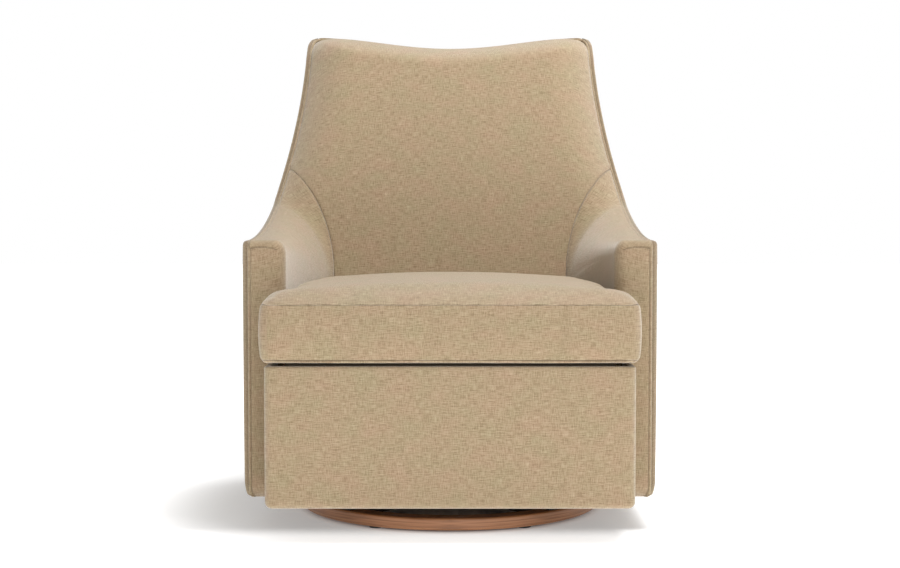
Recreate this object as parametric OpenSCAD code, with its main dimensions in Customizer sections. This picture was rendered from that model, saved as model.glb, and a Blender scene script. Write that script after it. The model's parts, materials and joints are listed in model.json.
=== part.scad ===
// Swivel glider chair: an upholstered armchair that swings on four links over a ball race and a wooden ring
// Millimetres. The origin is on the floor at the swivel axis, the chair faces -Y and +Z is up

/* [Base ring] */
// Outer radius of the wooden ring
ring_r = 298.5; // [260:0.5:320]
// Radial width of the ring
ring_w = 38; // [34:1:46]
// Height of the ring
ring_h = 23; // [18:1:28]
// Rounding of the ring's edges
ring_round = 4; // [2:0.5:6]
// Height of the glides under the ring
glide_h = 4; // [3:0.5:6]
// Radius of a glide
glide_r = 12; // [9:0.5:14]
// Number of glides
glide_count = 6; // [4:1:8]
// Width of a cross arm
cross_w = 44; // [36:1:52]
// Thickness of the cross's sheet
cross_t = 5; // [4:0.5:6]
// Depth of the turned-down flanges of the cross
flange_h = 14; // [8:1:18]

/* [Ball race] */
// Diameter of a ball
ball_d = 8; // [6:0.5:9]
// Radius of the circle that the balls run on
ball_circle_r = 64; // [60:1:68]
// Number of balls
ball_count = 20; // [12:1:24]
// Outer radius of both races
race_r = 80; // [76:1:88]
// Thickness of a race
race_t = 6; // [5:0.5:7]
// Gap between the races
race_gap = 3; // [2.5:0.1:4]
// Radius of the king pin
king_r = 6; // [5:0.5:8]

/* [Turning frame] */
// Side of the square swivel plate
plate_w = 240; // [220:2:280]
// Thickness of the swivel plate and the hanger posts
plate_t = 5; // [4:0.5:6]
// Height of a cross bar
bar_h = 25; // [20:1:32]
// Width of a cross bar
bar_w = 30; // [24:1:34]
// Wall of a cross bar
bar_wall = 2.5; // [2:0.25:3.5]
// Room between a seat rail and the side rail beside it
rail_gap = 53; // [40:1:70]
// Distance of the pivots from the middle, front and rear
pivot_y = 95; // [90:1:110]
// Height of the upper pivots above the swivel plate
pivot_rise = 153; // [140:1:165]
// Half width of a hanger post and of its head
post_r = 17; // [15:0.5:20]

/* [Links] */
// Distance between a link's two pivots
link_l = 110; // [95:1:118]
// Thickness of a link
link_t = 6; // [5:0.5:7]
// Radius of a link's eyes
eye_r = 15; // [13:0.5:16]
// Width of a link's waist
waist_w = 20; // [14:1:24]
// Radius of a pivot pin
pin_r = 5; // [4:0.25:6]
// Largest swing of the links each way, in degrees
swing = 28; // [20:1:30]

/* [Seat carriage] */
// Height of a seat rail's upright flange
rail_h = 40; // [34:1:46]
// Width of a seat rail's flat flange
rail_w = 34; // [28:1:40]
// Thickness of the rails' steel
rail_t = 4; // [3:0.5:5]
// Height of the rails' tops above the upper pivots
rail_rise = 40; // [36:1:46]
// Half width of a drop bracket
drop_r = 17; // [15:0.5:20]

/* [Wooden frame] */
// Thickness of the frame's boards
board_t = 22; // [18:1:25]
// Thickness of the arm boards
arm_board_t = 24; // [18:1:26]
// Thickness of the stretchers
stretcher_t = 18; // [15:1:22]
// Width of a stretcher
stretcher_w = 50; // [40:1:60]
// Height from the stretchers' undersides to the tops of the seat rails
frame_h = 55; // [48:1:64]
// Depth of a back post
post_d = 34; // [28:1:38]
// Width of a back post
post_w = 28; // [22:1:32]

/* [Suspension] */
// Number of seat springs
spring_count = 5; // [4:1:6]
// Thickness of the spring wire
wire_t = 3.8; // [3:0.1:4.5]
// Width of a spring's zigzag
spring_w = 50; // [40:1:60]
// Pitch of a spring's bends
spring_pitch = 24; // [20:1:30]
// Thickness of the deck pad
deck_t = 18.5; // [14:0.5:24]
// Width of a back web
web_w = 50; // [40:1:60]
// Number of back webs
web_count = 4; // [3:1:5]

/* [Seat box] */
// Height of the box's lower edge above the floor
box_lift = 62; // [56:1:70]
// Distance of the apron's face from the swivel axis
apron_y = 401; // [385:1:415]
// How far the seat box stands in from the outsides of the arms
box_in = 50.5; // [45:0.5:55]
// Thickness of the apron's cover and padding
apron_t = 14; // [10:1:18]
// Thickness of the padded nose sides
nose_t = 30; // [26:1:34]

/* [Arms] */
// Width over the outsides of the arms
arm_span = 762; // [750:1:780]
// Height of the arms at the front
arm_h = 540; // [525:1:560]
// Distance of the arms' front faces from the swivel axis
arm_front_y = 278; // [265:1:290]
// Thickness of an arm with its outside panel, at the front
arm_w = 77; // [71:1:81]
// Where the arm's top starts to rise, ahead of the swivel axis
flat_y = 250; // [225:1:262]
// Where the arm's top starts to swell into the back
swell_y = 230; // [215:1:240]
// Slope of the arm's top where the swell starts
swell_slope_share = 0.317; // [0.27:0.001:0.4]
// Height that the facing stays below the arm's top
facing_drop = 13; // [8:1:18]
// Radius of the arm's soft inner edge
arm_round = 28; // [20:1:34]
// Thickness of an outside panel
side_t = 13; // [10:1:16]
// How far the inside back's lower corners stand in from the arms' inner faces
seam_in = 58; // [52:1:66]
// Height at which the arm's rear seam starts to curve outwards
seam_z = 456; // [440:1:470]
// Where the arm's rear seam meets the piping
seam_top_y = 268.5; // [260:0.5:272]

/* [Back] */
// Height of the back's top corners
back_h = 983; // [950:1:1015]
// How far the middle of the top dips
top_dip = 25; // [0:1:30]
// Rake of the back, in degrees
back_rake = 16; // [13:0.5:18]
// Where the back's face stands at the height of the cushion's crown
back_y = 150; // [140:1:160]
// Height of the cushion's crown at the back
face_z = 460; // [450:1:470]
// How much narrower each side is at the top
side_taper = 62; // [40:1:70]
// Height at which the sides start to lean inwards
taper_z = 600; // [580:1:620]
// Width of the soft roll along the back's sides
roll_w = 110; // [90:1:120]
// Depth of the soft roll along the back's sides
roll_d = 55; // [48:1:60]
// Height of the soft roll along the top
roll_h = 45; // [38:1:52]
// Where the back's rear face stands at the bottom
rear_low_y = 308; // [300:1:320]
// Where the back's rear face stands at the top
rear_top_y = 404; // [402:1:420]
// Thickness of the outside back
rear_t = 12; // [10:1:14]
// Radius of the piping
welt_r = 3; // [2.5:0.1:3.5]

/* [Seat cushion] */
// How far the cushion's ears stand out beyond the seat box
ear_over = 8.5; // [3.5:0.5:14.5]
// Distance of the cushion's front from the swivel axis
cushion_y = 404; // [396:1:412]
// Height of the cushion's lower seam above its underside
seam_rise = 6; // [4:0.5:9]
// Height of the boxing between the two seams
boxing_h = 97.5; // [85:0.5:105]
// Rise of the crown above the upper seam
crown_h = 40; // [30:1:48]
// How far the boxing bulges in the middle
boxing_bulge = 4; // [2:0.5:6]

/* [Hidden] */
$fn = 48;

// Clearances: seated pieces, running gaps beside pivots, the pins' running fit, and one overrun for cuts
clear = 0.5;
side_gap = 0.3;
run_fit = 0.05;
over = 1;
fabric = "#b49f83";
wood = "#c9a878";
ply = "#d2b48c";
steel = "#8c9094";
dark_steel = "#3c3e42";

// Heights of the stack on the swivel axis
ring_top = glide_h + ring_h;
cross_top = ring_top + cross_t;
lower_top = cross_top + race_t;
upper_z = lower_top + race_gap;
plate_z = upper_z + race_t;
plate_top = plate_z + plate_t;
bar_top = plate_top + bar_h;
ball_z = lower_top + race_gap / 2;
pivot_z = plate_top + pivot_rise;
low_pivot_z = pivot_z - link_l;
travel = link_l * sin(swing);
lift = link_l * (1 - cos(swing));

// Widths, from the arms' outsides inwards
arm_half = arm_span / 2;
arm_in_x = arm_half - arm_w;
seam_x = arm_in_x - seam_in;
box_half = arm_half - box_in;
nose_in_x = box_half - nose_t;
side_rail_x = nose_in_x - clear - board_t;
ear_x = box_half + ear_over;

// Places across a hanger: rail, drop bracket, link and post stand side by side
washer_t = 2.2;
pin_head_t = 4;
low_head_t = 1.6;
bush_proud = 0.5;
bracket_gap = 7;
rail_x = side_rail_x - rail_gap - rail_w;
drop_x = rail_x - plate_t;
link_x = drop_x - bracket_gap - link_t;
hanger_x = link_x - bush_proud - side_gap - washer_t - plate_t;
bush_wall = 2;
bush_r = pin_r + bush_wall;
nut_r = pin_r * 1.7;
washer_r = pin_r * 1.6;
nut_t = pin_r * 1.4;

// Heights of the seat frame
rail_top = pivot_z + rail_rise;
stretcher_z = rail_top;
frame_top = stretcher_z + frame_h;
side_rail_h = 64;
spring_z = frame_top + clear;
deck_z = spring_z + wire_t + clear;
deck_top = deck_z + deck_t;
apron_drop = 5;
pad_lift = 2;
frame_lift = 4;
hem_lift = 1;
apron_top = deck_top - apron_drop;
pad_low_z = deck_top + pad_lift;
frame_low_z = box_lift + frame_lift;
hem_z = box_lift + hem_lift;
board_y = apron_y - apron_t - clear;
front_inner_y = board_y - board_t;
rear_rail_y = back_y;
board_inset = 5;
arm_board_x = arm_half - side_t - board_inset;
board_in_x = arm_board_x - arm_board_t;
facing_t = 14;
arm_pad_y = arm_front_y - facing_t;

function mix(a, b, t) = a + (b - a) * t;
function clamp(v, low, high) = min(max(v, low), high);
function smooth(t) = let (c = clamp(t, 0, 1)) c * c * (3 - 2 * c);
// Rounded fall from 1 to 0 as d goes from r to 0
function fall(d, r) = d >= r ? 1 : sqrt(max(0, 1 - pow(1 - d / r, 2)));

// Sides of the chair: half width over the outside panels and at the piping, by height
// above taper_z they lean in, softly at first and less and less towards the top
lean_soft_share = 0.08;
lean_bend_share = 1.8;
function lean(t) =
    let (g = (1 + lean_soft_share) * t * t / (t + lean_soft_share)) 1 - pow(max(0, 1 - g), lean_bend_share);
function half_out(z) = arm_half - side_taper * lean(clamp((z - taper_z) / (back_h - taper_z), 0, 1));
function piping_x(z) = half_out(z) - side_t;
// Raked planes of the back: its face and its rear
function face_y(z) = back_y + (z - face_z) * tan(back_rake);
function rear_y(z) = mix(rear_low_y, rear_top_y, (z - box_lift) / (back_h - box_lift));
function post_front_y(z) = rear_y(z) - rear_t - clear - post_d;
function web_front_y(z) = post_front_y(z) - web_t;
web_t = 2.5;

// Upper edge of the sides, as one line from the arm's front to the back's top corner: its slope is zero,
// grows along the arm, grows faster in the swell, and then keeps the back's rake
back_slope = 1 / tan(back_rake);
rise_rate = swell_slope_share / (swell_y + flat_y);
swell_z = arm_h + rise_rate * pow(swell_y + flat_y, 2) / 2;
line_z0 = face_z + (swell_y - back_y - roll_d) * back_slope;
swell_len = (swell_z - line_z0) / ((back_slope - swell_slope_share) / 2);
swell_rate = (back_slope - swell_slope_share) / swell_len;
swell_end_y = swell_y + swell_len;
roll_z = back_h - roll_h;
roll_y = back_y + roll_d + (roll_z - face_z) / back_slope;
band_y = rear_top_y - rear_t - 2 * welt_r - 2 * clear;
function edge_z(y) =
    y < -flat_y ? arm_h
    : y < swell_y ? arm_h + rise_rate * pow(y + flat_y, 2) / 2
    : y < swell_end_y ? swell_z + swell_slope_share * (y - swell_y) + swell_rate * pow(y - swell_y, 2) / 2
    : y < roll_y ? face_z + (y - back_y - roll_d) * back_slope
    : y < band_y ? roll_z + roll_h * sin(90 * (y - roll_y) / (band_y - roll_y))
    : back_h;
function edge_slope(y) =
    y < -flat_y ? 0
    : y < swell_y ? rise_rate * (y + flat_y)
    : y < swell_end_y ? swell_slope_share + swell_rate * (y - swell_y)
    : y < roll_y ? back_slope
    : y < band_y ? back_slope * cos(90 * (y - roll_y) / (band_y - roll_y))
    : 0;
// Place of that edge at a height above the swell's start
function edge_y(z) =
    z < swell_z ? swell_y
    : z < edge_z(swell_end_y) ? swell_y + (sqrt(pow(swell_slope_share, 2)
        + 2 * swell_rate * (z - swell_z)) - swell_slope_share) / swell_rate
    : back_y + roll_d + (z - face_z) / back_slope;
// Cloth edges stay this far below the edge line, square to it, and leave room for the piping
edge_room = 2 * welt_r + 3 * clear;
function edge_drop(y) = edge_room * sqrt(1 + pow(edge_slope(y), 2));

// Top of the back across its width, and the face of the inside back with its rolled sides and top
top_corner_x = piping_x(back_h);
function top_z(x) = back_h - top_dip * (1 + cos(180 * clamp(abs(x) / top_corner_x, 0, 1))) / 2;
function roll_depth(z) = clamp(edge_y(z) - face_y(z), roll_d / 2, roll_d);
function inside_y(x, z) =
    let (
        side = max(0, (abs(x) - piping_x(z) + roll_w) / roll_w),
        top = max(0, (z - top_z(x) + roll_h) / roll_h),
        t = min(1, pow(pow(side, 4) + pow(top, 4), 0.25)),
        deep = mix(roll_depth(z), band_y - edge_room - face_y(z), smooth(top))
    ) face_y(z) + deep * (1 - sqrt(max(0, 1 - t * t)));

// Closed slab between two grids of points of one size, near and far; flip turns its faces round
module slab(near, far, flip = false) {
    nu = len(near);
    nv = len(near[0]);
    n = nu * nv;
    points = concat([for (row = near) each row], [for (row = far) each row]);
    faces = [
        for (i = [0:nu - 2], j = [0:nv - 2])
            let (a = i * nv + j, b = a + nv, c = b + 1, d = a + 1)
                each [[a, b, c], [a, c, d], [n + a, n + c, n + b], [n + a, n + d, n + c]],
        for (i = [0:nu - 2])
            let (a = i * nv, b = a + nv, c = b + nv - 1, d = a + nv - 1)
                each [[b, a, n + a], [b, n + a, n + b], [d, c, n + c], [d, n + c, n + d]],
        for (j = [0:nv - 2])
            let (a = j, d = j + 1, b = (nu - 1) * nv + j, c = b + 1)
                each [[a, d, n + d], [a, n + d, n + a], [c, b, n + b], [c, n + b, n + c]]
    ];
    polyhedron(points, flip ? [for (f = faces) [f[2], f[1], f[0]]] : faces);
}

// Tube of the given radius along a path, its rings square to the path and set out from a fixed direction
module tube(path, r, up, sides = 6) {
    count = len(path);
    function unit(v) = v / norm(v);
    function ring(k) =
        let (
            ahead = unit(path[min(k + 1, count - 1)] - path[max(k - 1, 0)]),
            across = unit(cross(ahead, up)),
            lifted = cross(across, ahead)
        ) [for (a = [0:360 / sides:359]) path[k] + r * (cos(a) * across + sin(a) * lifted)];
    points = [for (k = [0:count - 1]) each ring(k)];
    last = (count - 1) * sides;
    faces = [
        [for (s = [0:sides - 1]) s],
        for (k = [0:count - 2], s = [0:sides - 1])
            let (a = k * sides + s, b = k * sides + (s + 1) % sides)
                each [[a, a + sides, b + sides], [a, b + sides, b]],
        [for (s = [sides - 1:-1:0]) last + s]
    ];
    polyhedron(points, [for (f = faces) [for (k = [len(f) - 1:-1:0]) f[k]]]);
}

// Rounded rectangle between two corners, as outline points
function round_box(x0, x1, z0, z1, r, n = 5) = [
    for (c = [[x1 - r, z0 + r, -90], [x1 - r, z1 - r, 0], [x0 + r, z1 - r, 90], [x0 + r, z0 + r, 180]])
        for (k = [0:n]) [c.x + r * cos(c.z + 90 * k / n), c.y + r * sin(c.z + 90 * k / n)]
];

// Cylinder along X from x0 to x1 at a place in the side view
module rod_x(x0, x1, y, z, r, fn = 48) {
    translate([x0, y, z]) rotate([0, 90, 0]) cylinder(h = x1 - x0, r = r, $fn = fn);
}

// Flat plate in the side view, standing between x0 and x1
module plate_x(x0, x1) {
    translate([x0, 0, 0]) rotate([90, 0, 90]) linear_extrude(x1 - x0) children();
}

// Left or right copy of a piece that is modelled on the right
module sided(side) {
    if (side < 0) mirror([1, 0, 0]) children();
    else children();
}
module both_sides() {
    for (side = [-1, 1]) sided(side) children();
}

// Base
cross_hub_r = 92;
screw_r = 2.5;
screw_depth = 14;
screw_head_r = 5;
screw_head_t = 2;
glide_pin_r = 3;
glide_pin_l = 12;
race_bolt_r = 3;
race_bolt_circle_r = 40;
bolt_head_t = 4;
flange_t = 3;
ring_mid_r = ring_r - ring_w / 2;
screw_spread = cross_w / 4;

module at_screws() {
    for (a = [45:90:315], s = [-1, 1])
        rotate([0, 0, a]) translate([ring_mid_r, s * screw_spread, 0]) children();
}

module base_ring() {
    color("#6f4a35") difference() {
        rotate_extrude($fn = 96)
            polygon(round_box(ring_r - ring_w, ring_r, glide_h, ring_top, ring_round));
        at_screws() translate([0, 0, ring_top - screw_depth]) cylinder(h = screw_depth + over, r = screw_r);
        at_glides() translate([0, 0, glide_h - over]) cylinder(h = glide_pin_l + over, r = glide_pin_r);
    }
}

module at_glides() {
    for (k = [0:glide_count - 1])
        rotate([0, 0, -90 + (k + 0.5) * 360 / glide_count]) translate([ring_mid_r, 0, 0]) children();
}

module ring_glides() {
    color("#2a2a2c") at_glides() {
        cylinder(h = glide_h, r = glide_r);
        translate([0, 0, glide_h]) cylinder(h = glide_pin_l, r = glide_pin_r);
    }
}

module base_cross() {
    tip_r = ring_r - ring_w / 4;
    flange_end = ring_r - ring_w - ring_round - clear;
    color(dark_steel) difference() {
        union() {
            translate([0, 0, ring_top]) cylinder(h = cross_t, r = cross_hub_r, $fn = 96);
            for (a = [45:90:315]) rotate([0, 0, a]) {
                translate([0, -cross_w / 2, ring_top]) cube([tip_r, cross_w, cross_t]);
                for (s = [-1, 1]) translate([cross_hub_r / 2, s * (cross_w - flange_t) / 2 - flange_t / 2,
                    ring_top - flange_h]) cube([flange_end - cross_hub_r / 2, flange_t, flange_h + over]);
            }
        }
        translate([0, 0, ring_top - over]) cylinder(h = cross_t + 2 * over, r = king_r);
        at_race_bolts() translate([0, 0, ring_top - over]) cylinder(h = cross_t + 2 * over, r = race_bolt_r);
        at_screws() translate([0, 0, ring_top - over]) cylinder(h = cross_t + 2 * over, r = screw_r);
    }
}

module cross_screws() {
    color(steel) at_screws() {
        translate([0, 0, ring_top - screw_depth]) cylinder(h = screw_depth + cross_t + over / 2, r = screw_r);
        translate([0, 0, cross_top]) cylinder(h = screw_head_t, r = screw_head_r);
    }
}

// Groove that both races share, opened by a running gap round the balls
module ball_groove() {
    rotate_extrude($fn = 96)
        translate([ball_circle_r, ball_z]) circle(r = ball_d / 2 + side_gap / 2, $fn = 36);
}

module at_race_bolts() {
    for (a = [0:90:270]) rotate([0, 0, a]) translate([race_bolt_circle_r, 0, 0]) children();
}

module lower_race() {
    color(steel) difference() {
        translate([0, 0, cross_top]) cylinder(h = race_t, r = race_r, $fn = 96);
        ball_groove();
        translate([0, 0, cross_top - over]) cylinder(h = race_t + 2 * over, r = king_r);
        at_race_bolts() translate([0, 0, cross_top - over]) cylinder(h = race_t + 2 * over, r = race_bolt_r);
    }
}

module race_bolts() {
    color(steel) at_race_bolts() {
        translate([0, 0, ring_top]) cylinder(h = cross_t + race_t, r = race_bolt_r);
        translate([0, 0, ring_top - bolt_head_t]) cylinder(h = bolt_head_t, r = race_bolt_r * 2, $fn = 6);
    }
}

module race_balls() {
    color("#c8ccd0") for (k = [0:ball_count - 1]) rotate([0, 0, 360 * k / ball_count])
        translate([ball_circle_r, 0, ball_z]) sphere(d = ball_d, $fn = 24);
}

module ball_cage() {
    cage_t = race_gap - 4 * side_gap;
    cage_w = ball_d * 1.6;
    color("#b08d57") difference() {
        translate([0, 0, ball_z - cage_t / 2]) rotate_extrude($fn = 96)
            translate([ball_circle_r - cage_w / 2, 0]) square([cage_w, cage_t]);
        for (k = [0:ball_count - 1]) rotate([0, 0, 360 * k / ball_count])
            translate([ball_circle_r, 0, ball_z - cage_t])
                cylinder(h = 2 * cage_t, r = ball_d / 2 + side_gap);
    }
}

king_head_t = 7;
king_nut_t = 7;
king_washer_t = 1.5;

module king_pin() {
    color(steel) {
        translate([0, 0, ring_top - king_head_t]) cylinder(h = king_head_t, r = king_r * 1.7, $fn = 6);
        translate([0, 0, ring_top])
            cylinder(h = plate_z - ring_top + king_washer_t + king_nut_t + over, r = king_r);
    }
}

module king_nut() {
    nut_z = plate_z + side_gap;
    color(steel) difference() {
        union() {
            translate([0, 0, nut_z]) cylinder(h = king_washer_t, r = king_r * 2);
            translate([0, 0, nut_z + king_washer_t])
                cylinder(h = king_nut_t - side_gap, r = king_r * 1.6, $fn = 6);
        }
        translate([0, 0, nut_z - over]) cylinder(h = king_nut_t + king_washer_t + 2 * over, r = king_r);
    }
}

// Turning frame
plate_bolt_circle_r = 44;
plate_hole_r = 16;
plate_corner = 24;

module at_plate_bolts() {
    for (a = [45:90:315]) rotate([0, 0, a]) translate([plate_bolt_circle_r, 0, 0]) children();
}

module upper_race() {
    color(steel) difference() {
        translate([0, 0, upper_z]) cylinder(h = race_t, r = race_r, $fn = 96);
        ball_groove();
        translate([0, 0, upper_z - over]) cylinder(h = race_t + 2 * over, r = king_r + run_fit);
        at_plate_bolts() translate([0, 0, upper_z - over]) cylinder(h = race_t + 2 * over, r = race_bolt_r);
    }
}

module swivel_plate() {
    half = plate_w / 2;
    cut = plate_corner;
    color(dark_steel) difference() {
        translate([0, 0, plate_z]) linear_extrude(plate_t) polygon([
            [-half, -half + cut], [-half + cut, -half], [half - cut, -half], [half, -half + cut],
            [half, half - cut], [half - cut, half], [-half + cut, half], [-half, half - cut]]);
        translate([0, 0, plate_z - over]) cylinder(h = plate_t + 2 * over, r = plate_hole_r);
        at_plate_bolts() translate([0, 0, plate_z - over]) cylinder(h = plate_t + 2 * over, r = race_bolt_r);
    }
}

module plate_bolts() {
    color(steel) at_plate_bolts() {
        translate([0, 0, upper_z]) cylinder(h = race_t + plate_t, r = race_bolt_r);
        translate([0, 0, plate_top]) cylinder(h = bolt_head_t, r = race_bolt_r * 2, $fn = 6);
    }
}

module cross_bar(side) {
    color(dark_steel) translate([-hanger_x, side * pivot_y - bar_w / 2, plate_top]) difference() {
        cube([2 * hanger_x, bar_w, bar_h]);
        translate([-over, bar_wall, bar_wall])
            cube([2 * hanger_x + 2 * over, bar_w - 2 * bar_wall, bar_h - 2 * bar_wall]);
    }
}

module hanger_post(side, end) {
    hole_r = post_r / 2;
    color(dark_steel) sided(side) plate_x(hanger_x, hanger_x + plate_t) difference() {
        union() {
            translate([end * pivot_y - post_r, plate_top]) square([2 * post_r, pivot_rise]);
            translate([end * pivot_y, pivot_z]) circle(r = post_r);
            translate([end * pivot_y, plate_top]) polygon([[-bar_w, 0], [bar_w, 0], [post_r, bar_h + bar_w],
                [-post_r, bar_h + bar_w]]);
        }
        translate([end * pivot_y, pivot_z]) circle(r = pin_r);
        for (k = [1, 2]) translate([end * pivot_y, mix(bar_top, pivot_z, k / 3)]) circle(r = hole_r);
    }
}

module upper_pivot_pins() {
    head_x = link_x + link_t + bush_proud + side_gap;
    color(steel) both_sides() for (end = [-1, 1]) {
        rod_x(hanger_x - nut_t, hanger_x, end * pivot_y, pivot_z, nut_r, 6);
        rod_x(hanger_x, head_x, end * pivot_y, pivot_z, pin_r);
        rod_x(hanger_x + plate_t, hanger_x + plate_t + washer_t, end * pivot_y, pivot_z, washer_r);
        rod_x(head_x, head_x + pin_head_t, end * pivot_y, pivot_z, washer_r);
    }
}

// Links
module link(side, end) {
    color("#55585c") sided(side) plate_x(link_x, link_x + link_t) translate([end * pivot_y, 0]) difference() {
        union() {
            translate([0, pivot_z]) circle(r = eye_r);
            translate([0, low_pivot_z]) circle(r = eye_r);
            translate([-waist_w / 2, low_pivot_z]) square([waist_w, link_l]);
        }
        translate([0, pivot_z]) circle(r = bush_r);
        translate([0, low_pivot_z]) circle(r = bush_r);
        translate([0, (pivot_z + low_pivot_z) / 2]) circle(r = waist_w / 4);
    }
}

module link_bushes(end) {
    x0 = link_x - bush_proud;
    x1 = link_x + link_t + bush_proud;
    color("#e8e4d8") both_sides() for (z = [pivot_z, low_pivot_z]) difference() {
        rod_x(x0, x1, end * pivot_y, z, bush_r);
        rod_x(x0 - over, x1 + over, end * pivot_y, z, pin_r + run_fit);
    }
}

// Seat carriage
bolt_y = drop_r / 2;
bolt_z = rail_top - rail_h / 2;
bracket_top = rail_top - rail_t - clear;
stop_half = pivot_y - post_r - travel - side_gap;
bumper_t = 11;
stop_core = stop_half - bumper_t;
stop_z = pivot_z - post_r - lift;
bumper_r = 9;
rail_front_y = arm_pad_y;
rail_bolt_r = 3;

module drop_brackets() {
    color(dark_steel) both_sides() for (end = [-1, 1]) plate_x(drop_x, rail_x)
        translate([end * pivot_y, 0]) difference() {
            union() {
                translate([0, low_pivot_z]) circle(r = drop_r);
                translate([-drop_r, low_pivot_z]) square([2 * drop_r, bracket_top - low_pivot_z]);
            }
            translate([0, low_pivot_z]) circle(r = pin_r);
            translate([0, (low_pivot_z + bolt_z) / 2]) circle(r = drop_r / 2);
            for (s = [-1, 1]) translate([s * bolt_y, bolt_z]) circle(r = rail_bolt_r);
        }
}

module lower_pivot_pins() {
    head_x = link_x - bush_proud - side_gap;
    color(steel) both_sides() for (end = [-1, 1]) {
        rod_x(head_x - low_head_t, head_x, end * pivot_y, low_pivot_z, washer_r);
        rod_x(head_x, rail_x, end * pivot_y, low_pivot_z, pin_r);
        rod_x(link_x + link_t + bush_proud + side_gap, drop_x, end * pivot_y, low_pivot_z, washer_r);
        rod_x(rail_x, rail_x + nut_t, end * pivot_y, low_pivot_z, nut_r, 6);
    }
}

// Places of the bolts that join the drop brackets and the stop brackets to a rail
module at_rail_bolts() {
    for (end = [-1, 0, 1], s = [-1, 1]) translate([0, end * pivot_y + s * bolt_y, bolt_z]) children();
}

module at_rail_screws() {
    for (y = stretcher_ys, s = [-1, 1])
        translate([rail_x + rail_w / 2 + rail_t, y + s * stretcher_w / 4, rail_top]) children();
}

module seat_rail(side) {
    color(dark_steel) sided(side) difference() {
        union() {
            translate([rail_x, -rail_front_y, rail_top - rail_h])
                cube([rail_t, rail_front_y + rear_rail_y - clear, rail_h]);
            translate([rail_x, -rail_front_y, rail_top - rail_t])
                cube([rail_w, rail_front_y + rear_rail_y - clear, rail_t]);
        }
        at_rail_bolts() rod_x(rail_x - over, rail_x + rail_t + over, 0, 0, rail_bolt_r);
        at_rail_screws() translate([0, 0, -rail_t - over]) cylinder(h = rail_t + 2 * over, r = screw_r);
    }
}

module rail_bolts() {
    color(steel) both_sides() {
        at_rail_bolts() {
            rod_x(drop_x - bolt_head_t / 2, drop_x, 0, 0, rail_bolt_r * 1.8, 24);
            rod_x(drop_x, rail_x + rail_t, 0, 0, rail_bolt_r);
            rod_x(rail_x + rail_t, rail_x + rail_t + bolt_head_t, 0, 0, rail_bolt_r * 1.8, 6);
        }
        at_rail_screws() {
            translate([0, 0, -rail_t - screw_head_t]) cylinder(h = screw_head_t, r = screw_head_r);
            translate([0, 0, -rail_t]) cylinder(h = rail_t + screw_depth, r = screw_r);
        }
    }
}

module stop_brackets() {
    finger_x = hanger_x - side_gap - bumper_r / 2;
    color(dark_steel) both_sides() difference() {
        union() {
            translate([drop_x, -stop_core, stop_z - bumper_r])
                cube([plate_t, 2 * stop_core, bracket_top - stop_z + bumper_r]);
            translate([finger_x, -stop_core, stop_z - bumper_r])
                cube([drop_x - finger_x + over, 2 * stop_core, 2 * bumper_r]);
        }
        for (s = [-1, 1]) rod_x(drop_x - over, rail_x + over, s * bolt_y, bolt_z, rail_bolt_r);
    }
}

module stop_bumpers() {
    color("#202022") both_sides() for (s = [-1, 1])
        translate([hanger_x + plate_t / 2, s * stop_core, stop_z]) rotate([-90 * s, 0, 0])
            cylinder(h = stop_half - stop_core, r = bumper_r);
}

// Wooden frame
stretcher_ys = [-arm_pad_y + stretcher_w / 2 + board_t, rear_rail_y - 2 * stretcher_w];
side_rail_z = frame_top - side_rail_h;

module stretchers() {
    half = side_rail_x - clear;
    color(wood) for (y = stretcher_ys) difference() {
        translate([-half, y - stretcher_w / 2, stretcher_z]) cube([2 * half, stretcher_w, stretcher_t]);
        both_sides() at_rail_screws() translate([0, 0, -over]) cylinder(h = screw_depth + over, r = screw_r);
    }
}

module front_rail() {
    half = nose_in_x - clear;
    color(ply) translate([-half, -board_y, frame_low_z]) cube([2 * half, board_t, frame_top - frame_low_z]);
}

module rear_seat_rail() {
    half = board_in_x - clear;
    color(wood) translate([-half, rear_rail_y, side_rail_z]) cube([2 * half, board_t, side_rail_h]);
}

module side_rails() {
    color(wood) both_sides() translate([side_rail_x, -front_inner_y + clear, side_rail_z])
        cube([board_t, front_inner_y + rear_rail_y - 2 * clear, side_rail_h]);
}

// Blocks that tie the side rails to the arm boards
module corner_blocks() {
    x0 = side_rail_x + board_t + clear;
    block_w = board_in_x - clear - x0;
    color(wood) both_sides() for (y = [-arm_pad_y + clear, rear_rail_y - clear - stretcher_w])
        translate([x0, y, side_rail_z]) cube([block_w, stretcher_w, side_rail_h]);
}

// Arm board: plywood cut to the arm's outline below its padding, with round lightening holes
arm_pad_top_t = 21;
board_end_room = 10;
arm_board_rear_y = post_front_y(frame_low_z) - 2 * clear - board_end_room;
board_hole_r = 38;
board_room = 5;
module arm_board(side) {
    steps = 20;
    front = -arm_pad_y + 2 * clear;
    outline = concat(
        [[arm_board_rear_y, frame_low_z], [front, frame_low_z]],
        [for (k = [0:steps])
            let (y = mix(front, arm_board_rear_y, k / steps))
                [y, edge_z(y) - arm_pad_top_t - board_room - edge_drop(y) / 2]]);
    color(ply) sided(side) plate_x(board_in_x, arm_board_x) difference() {
        polygon(outline);
        for (k = [0:2]) translate([mix(front, arm_board_rear_y, (2 * k + 1) / 6), (box_lift + arm_h) / 2])
            circle(r = board_hole_r);
    }
}

// Back post: follows the side's lean in the front view and the rear face's rake in the side view
post_top_z = back_h - roll_h * 0.7;
post_room = 4;
module back_post(side) {
    rows = 14;
    grid = [for (k = [0:rows]) mix(frame_low_z, post_top_z, k / rows)];
    function post_row(z, y) = [[piping_x(z) - post_room - post_w, y, z], [piping_x(z) - post_room, y, z]];
    color(wood) sided(side) slab(
        [for (z = grid) post_row(z, post_front_y(z))],
        [for (z = grid) post_row(z, post_front_y(z) + post_d)]);
}

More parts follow.
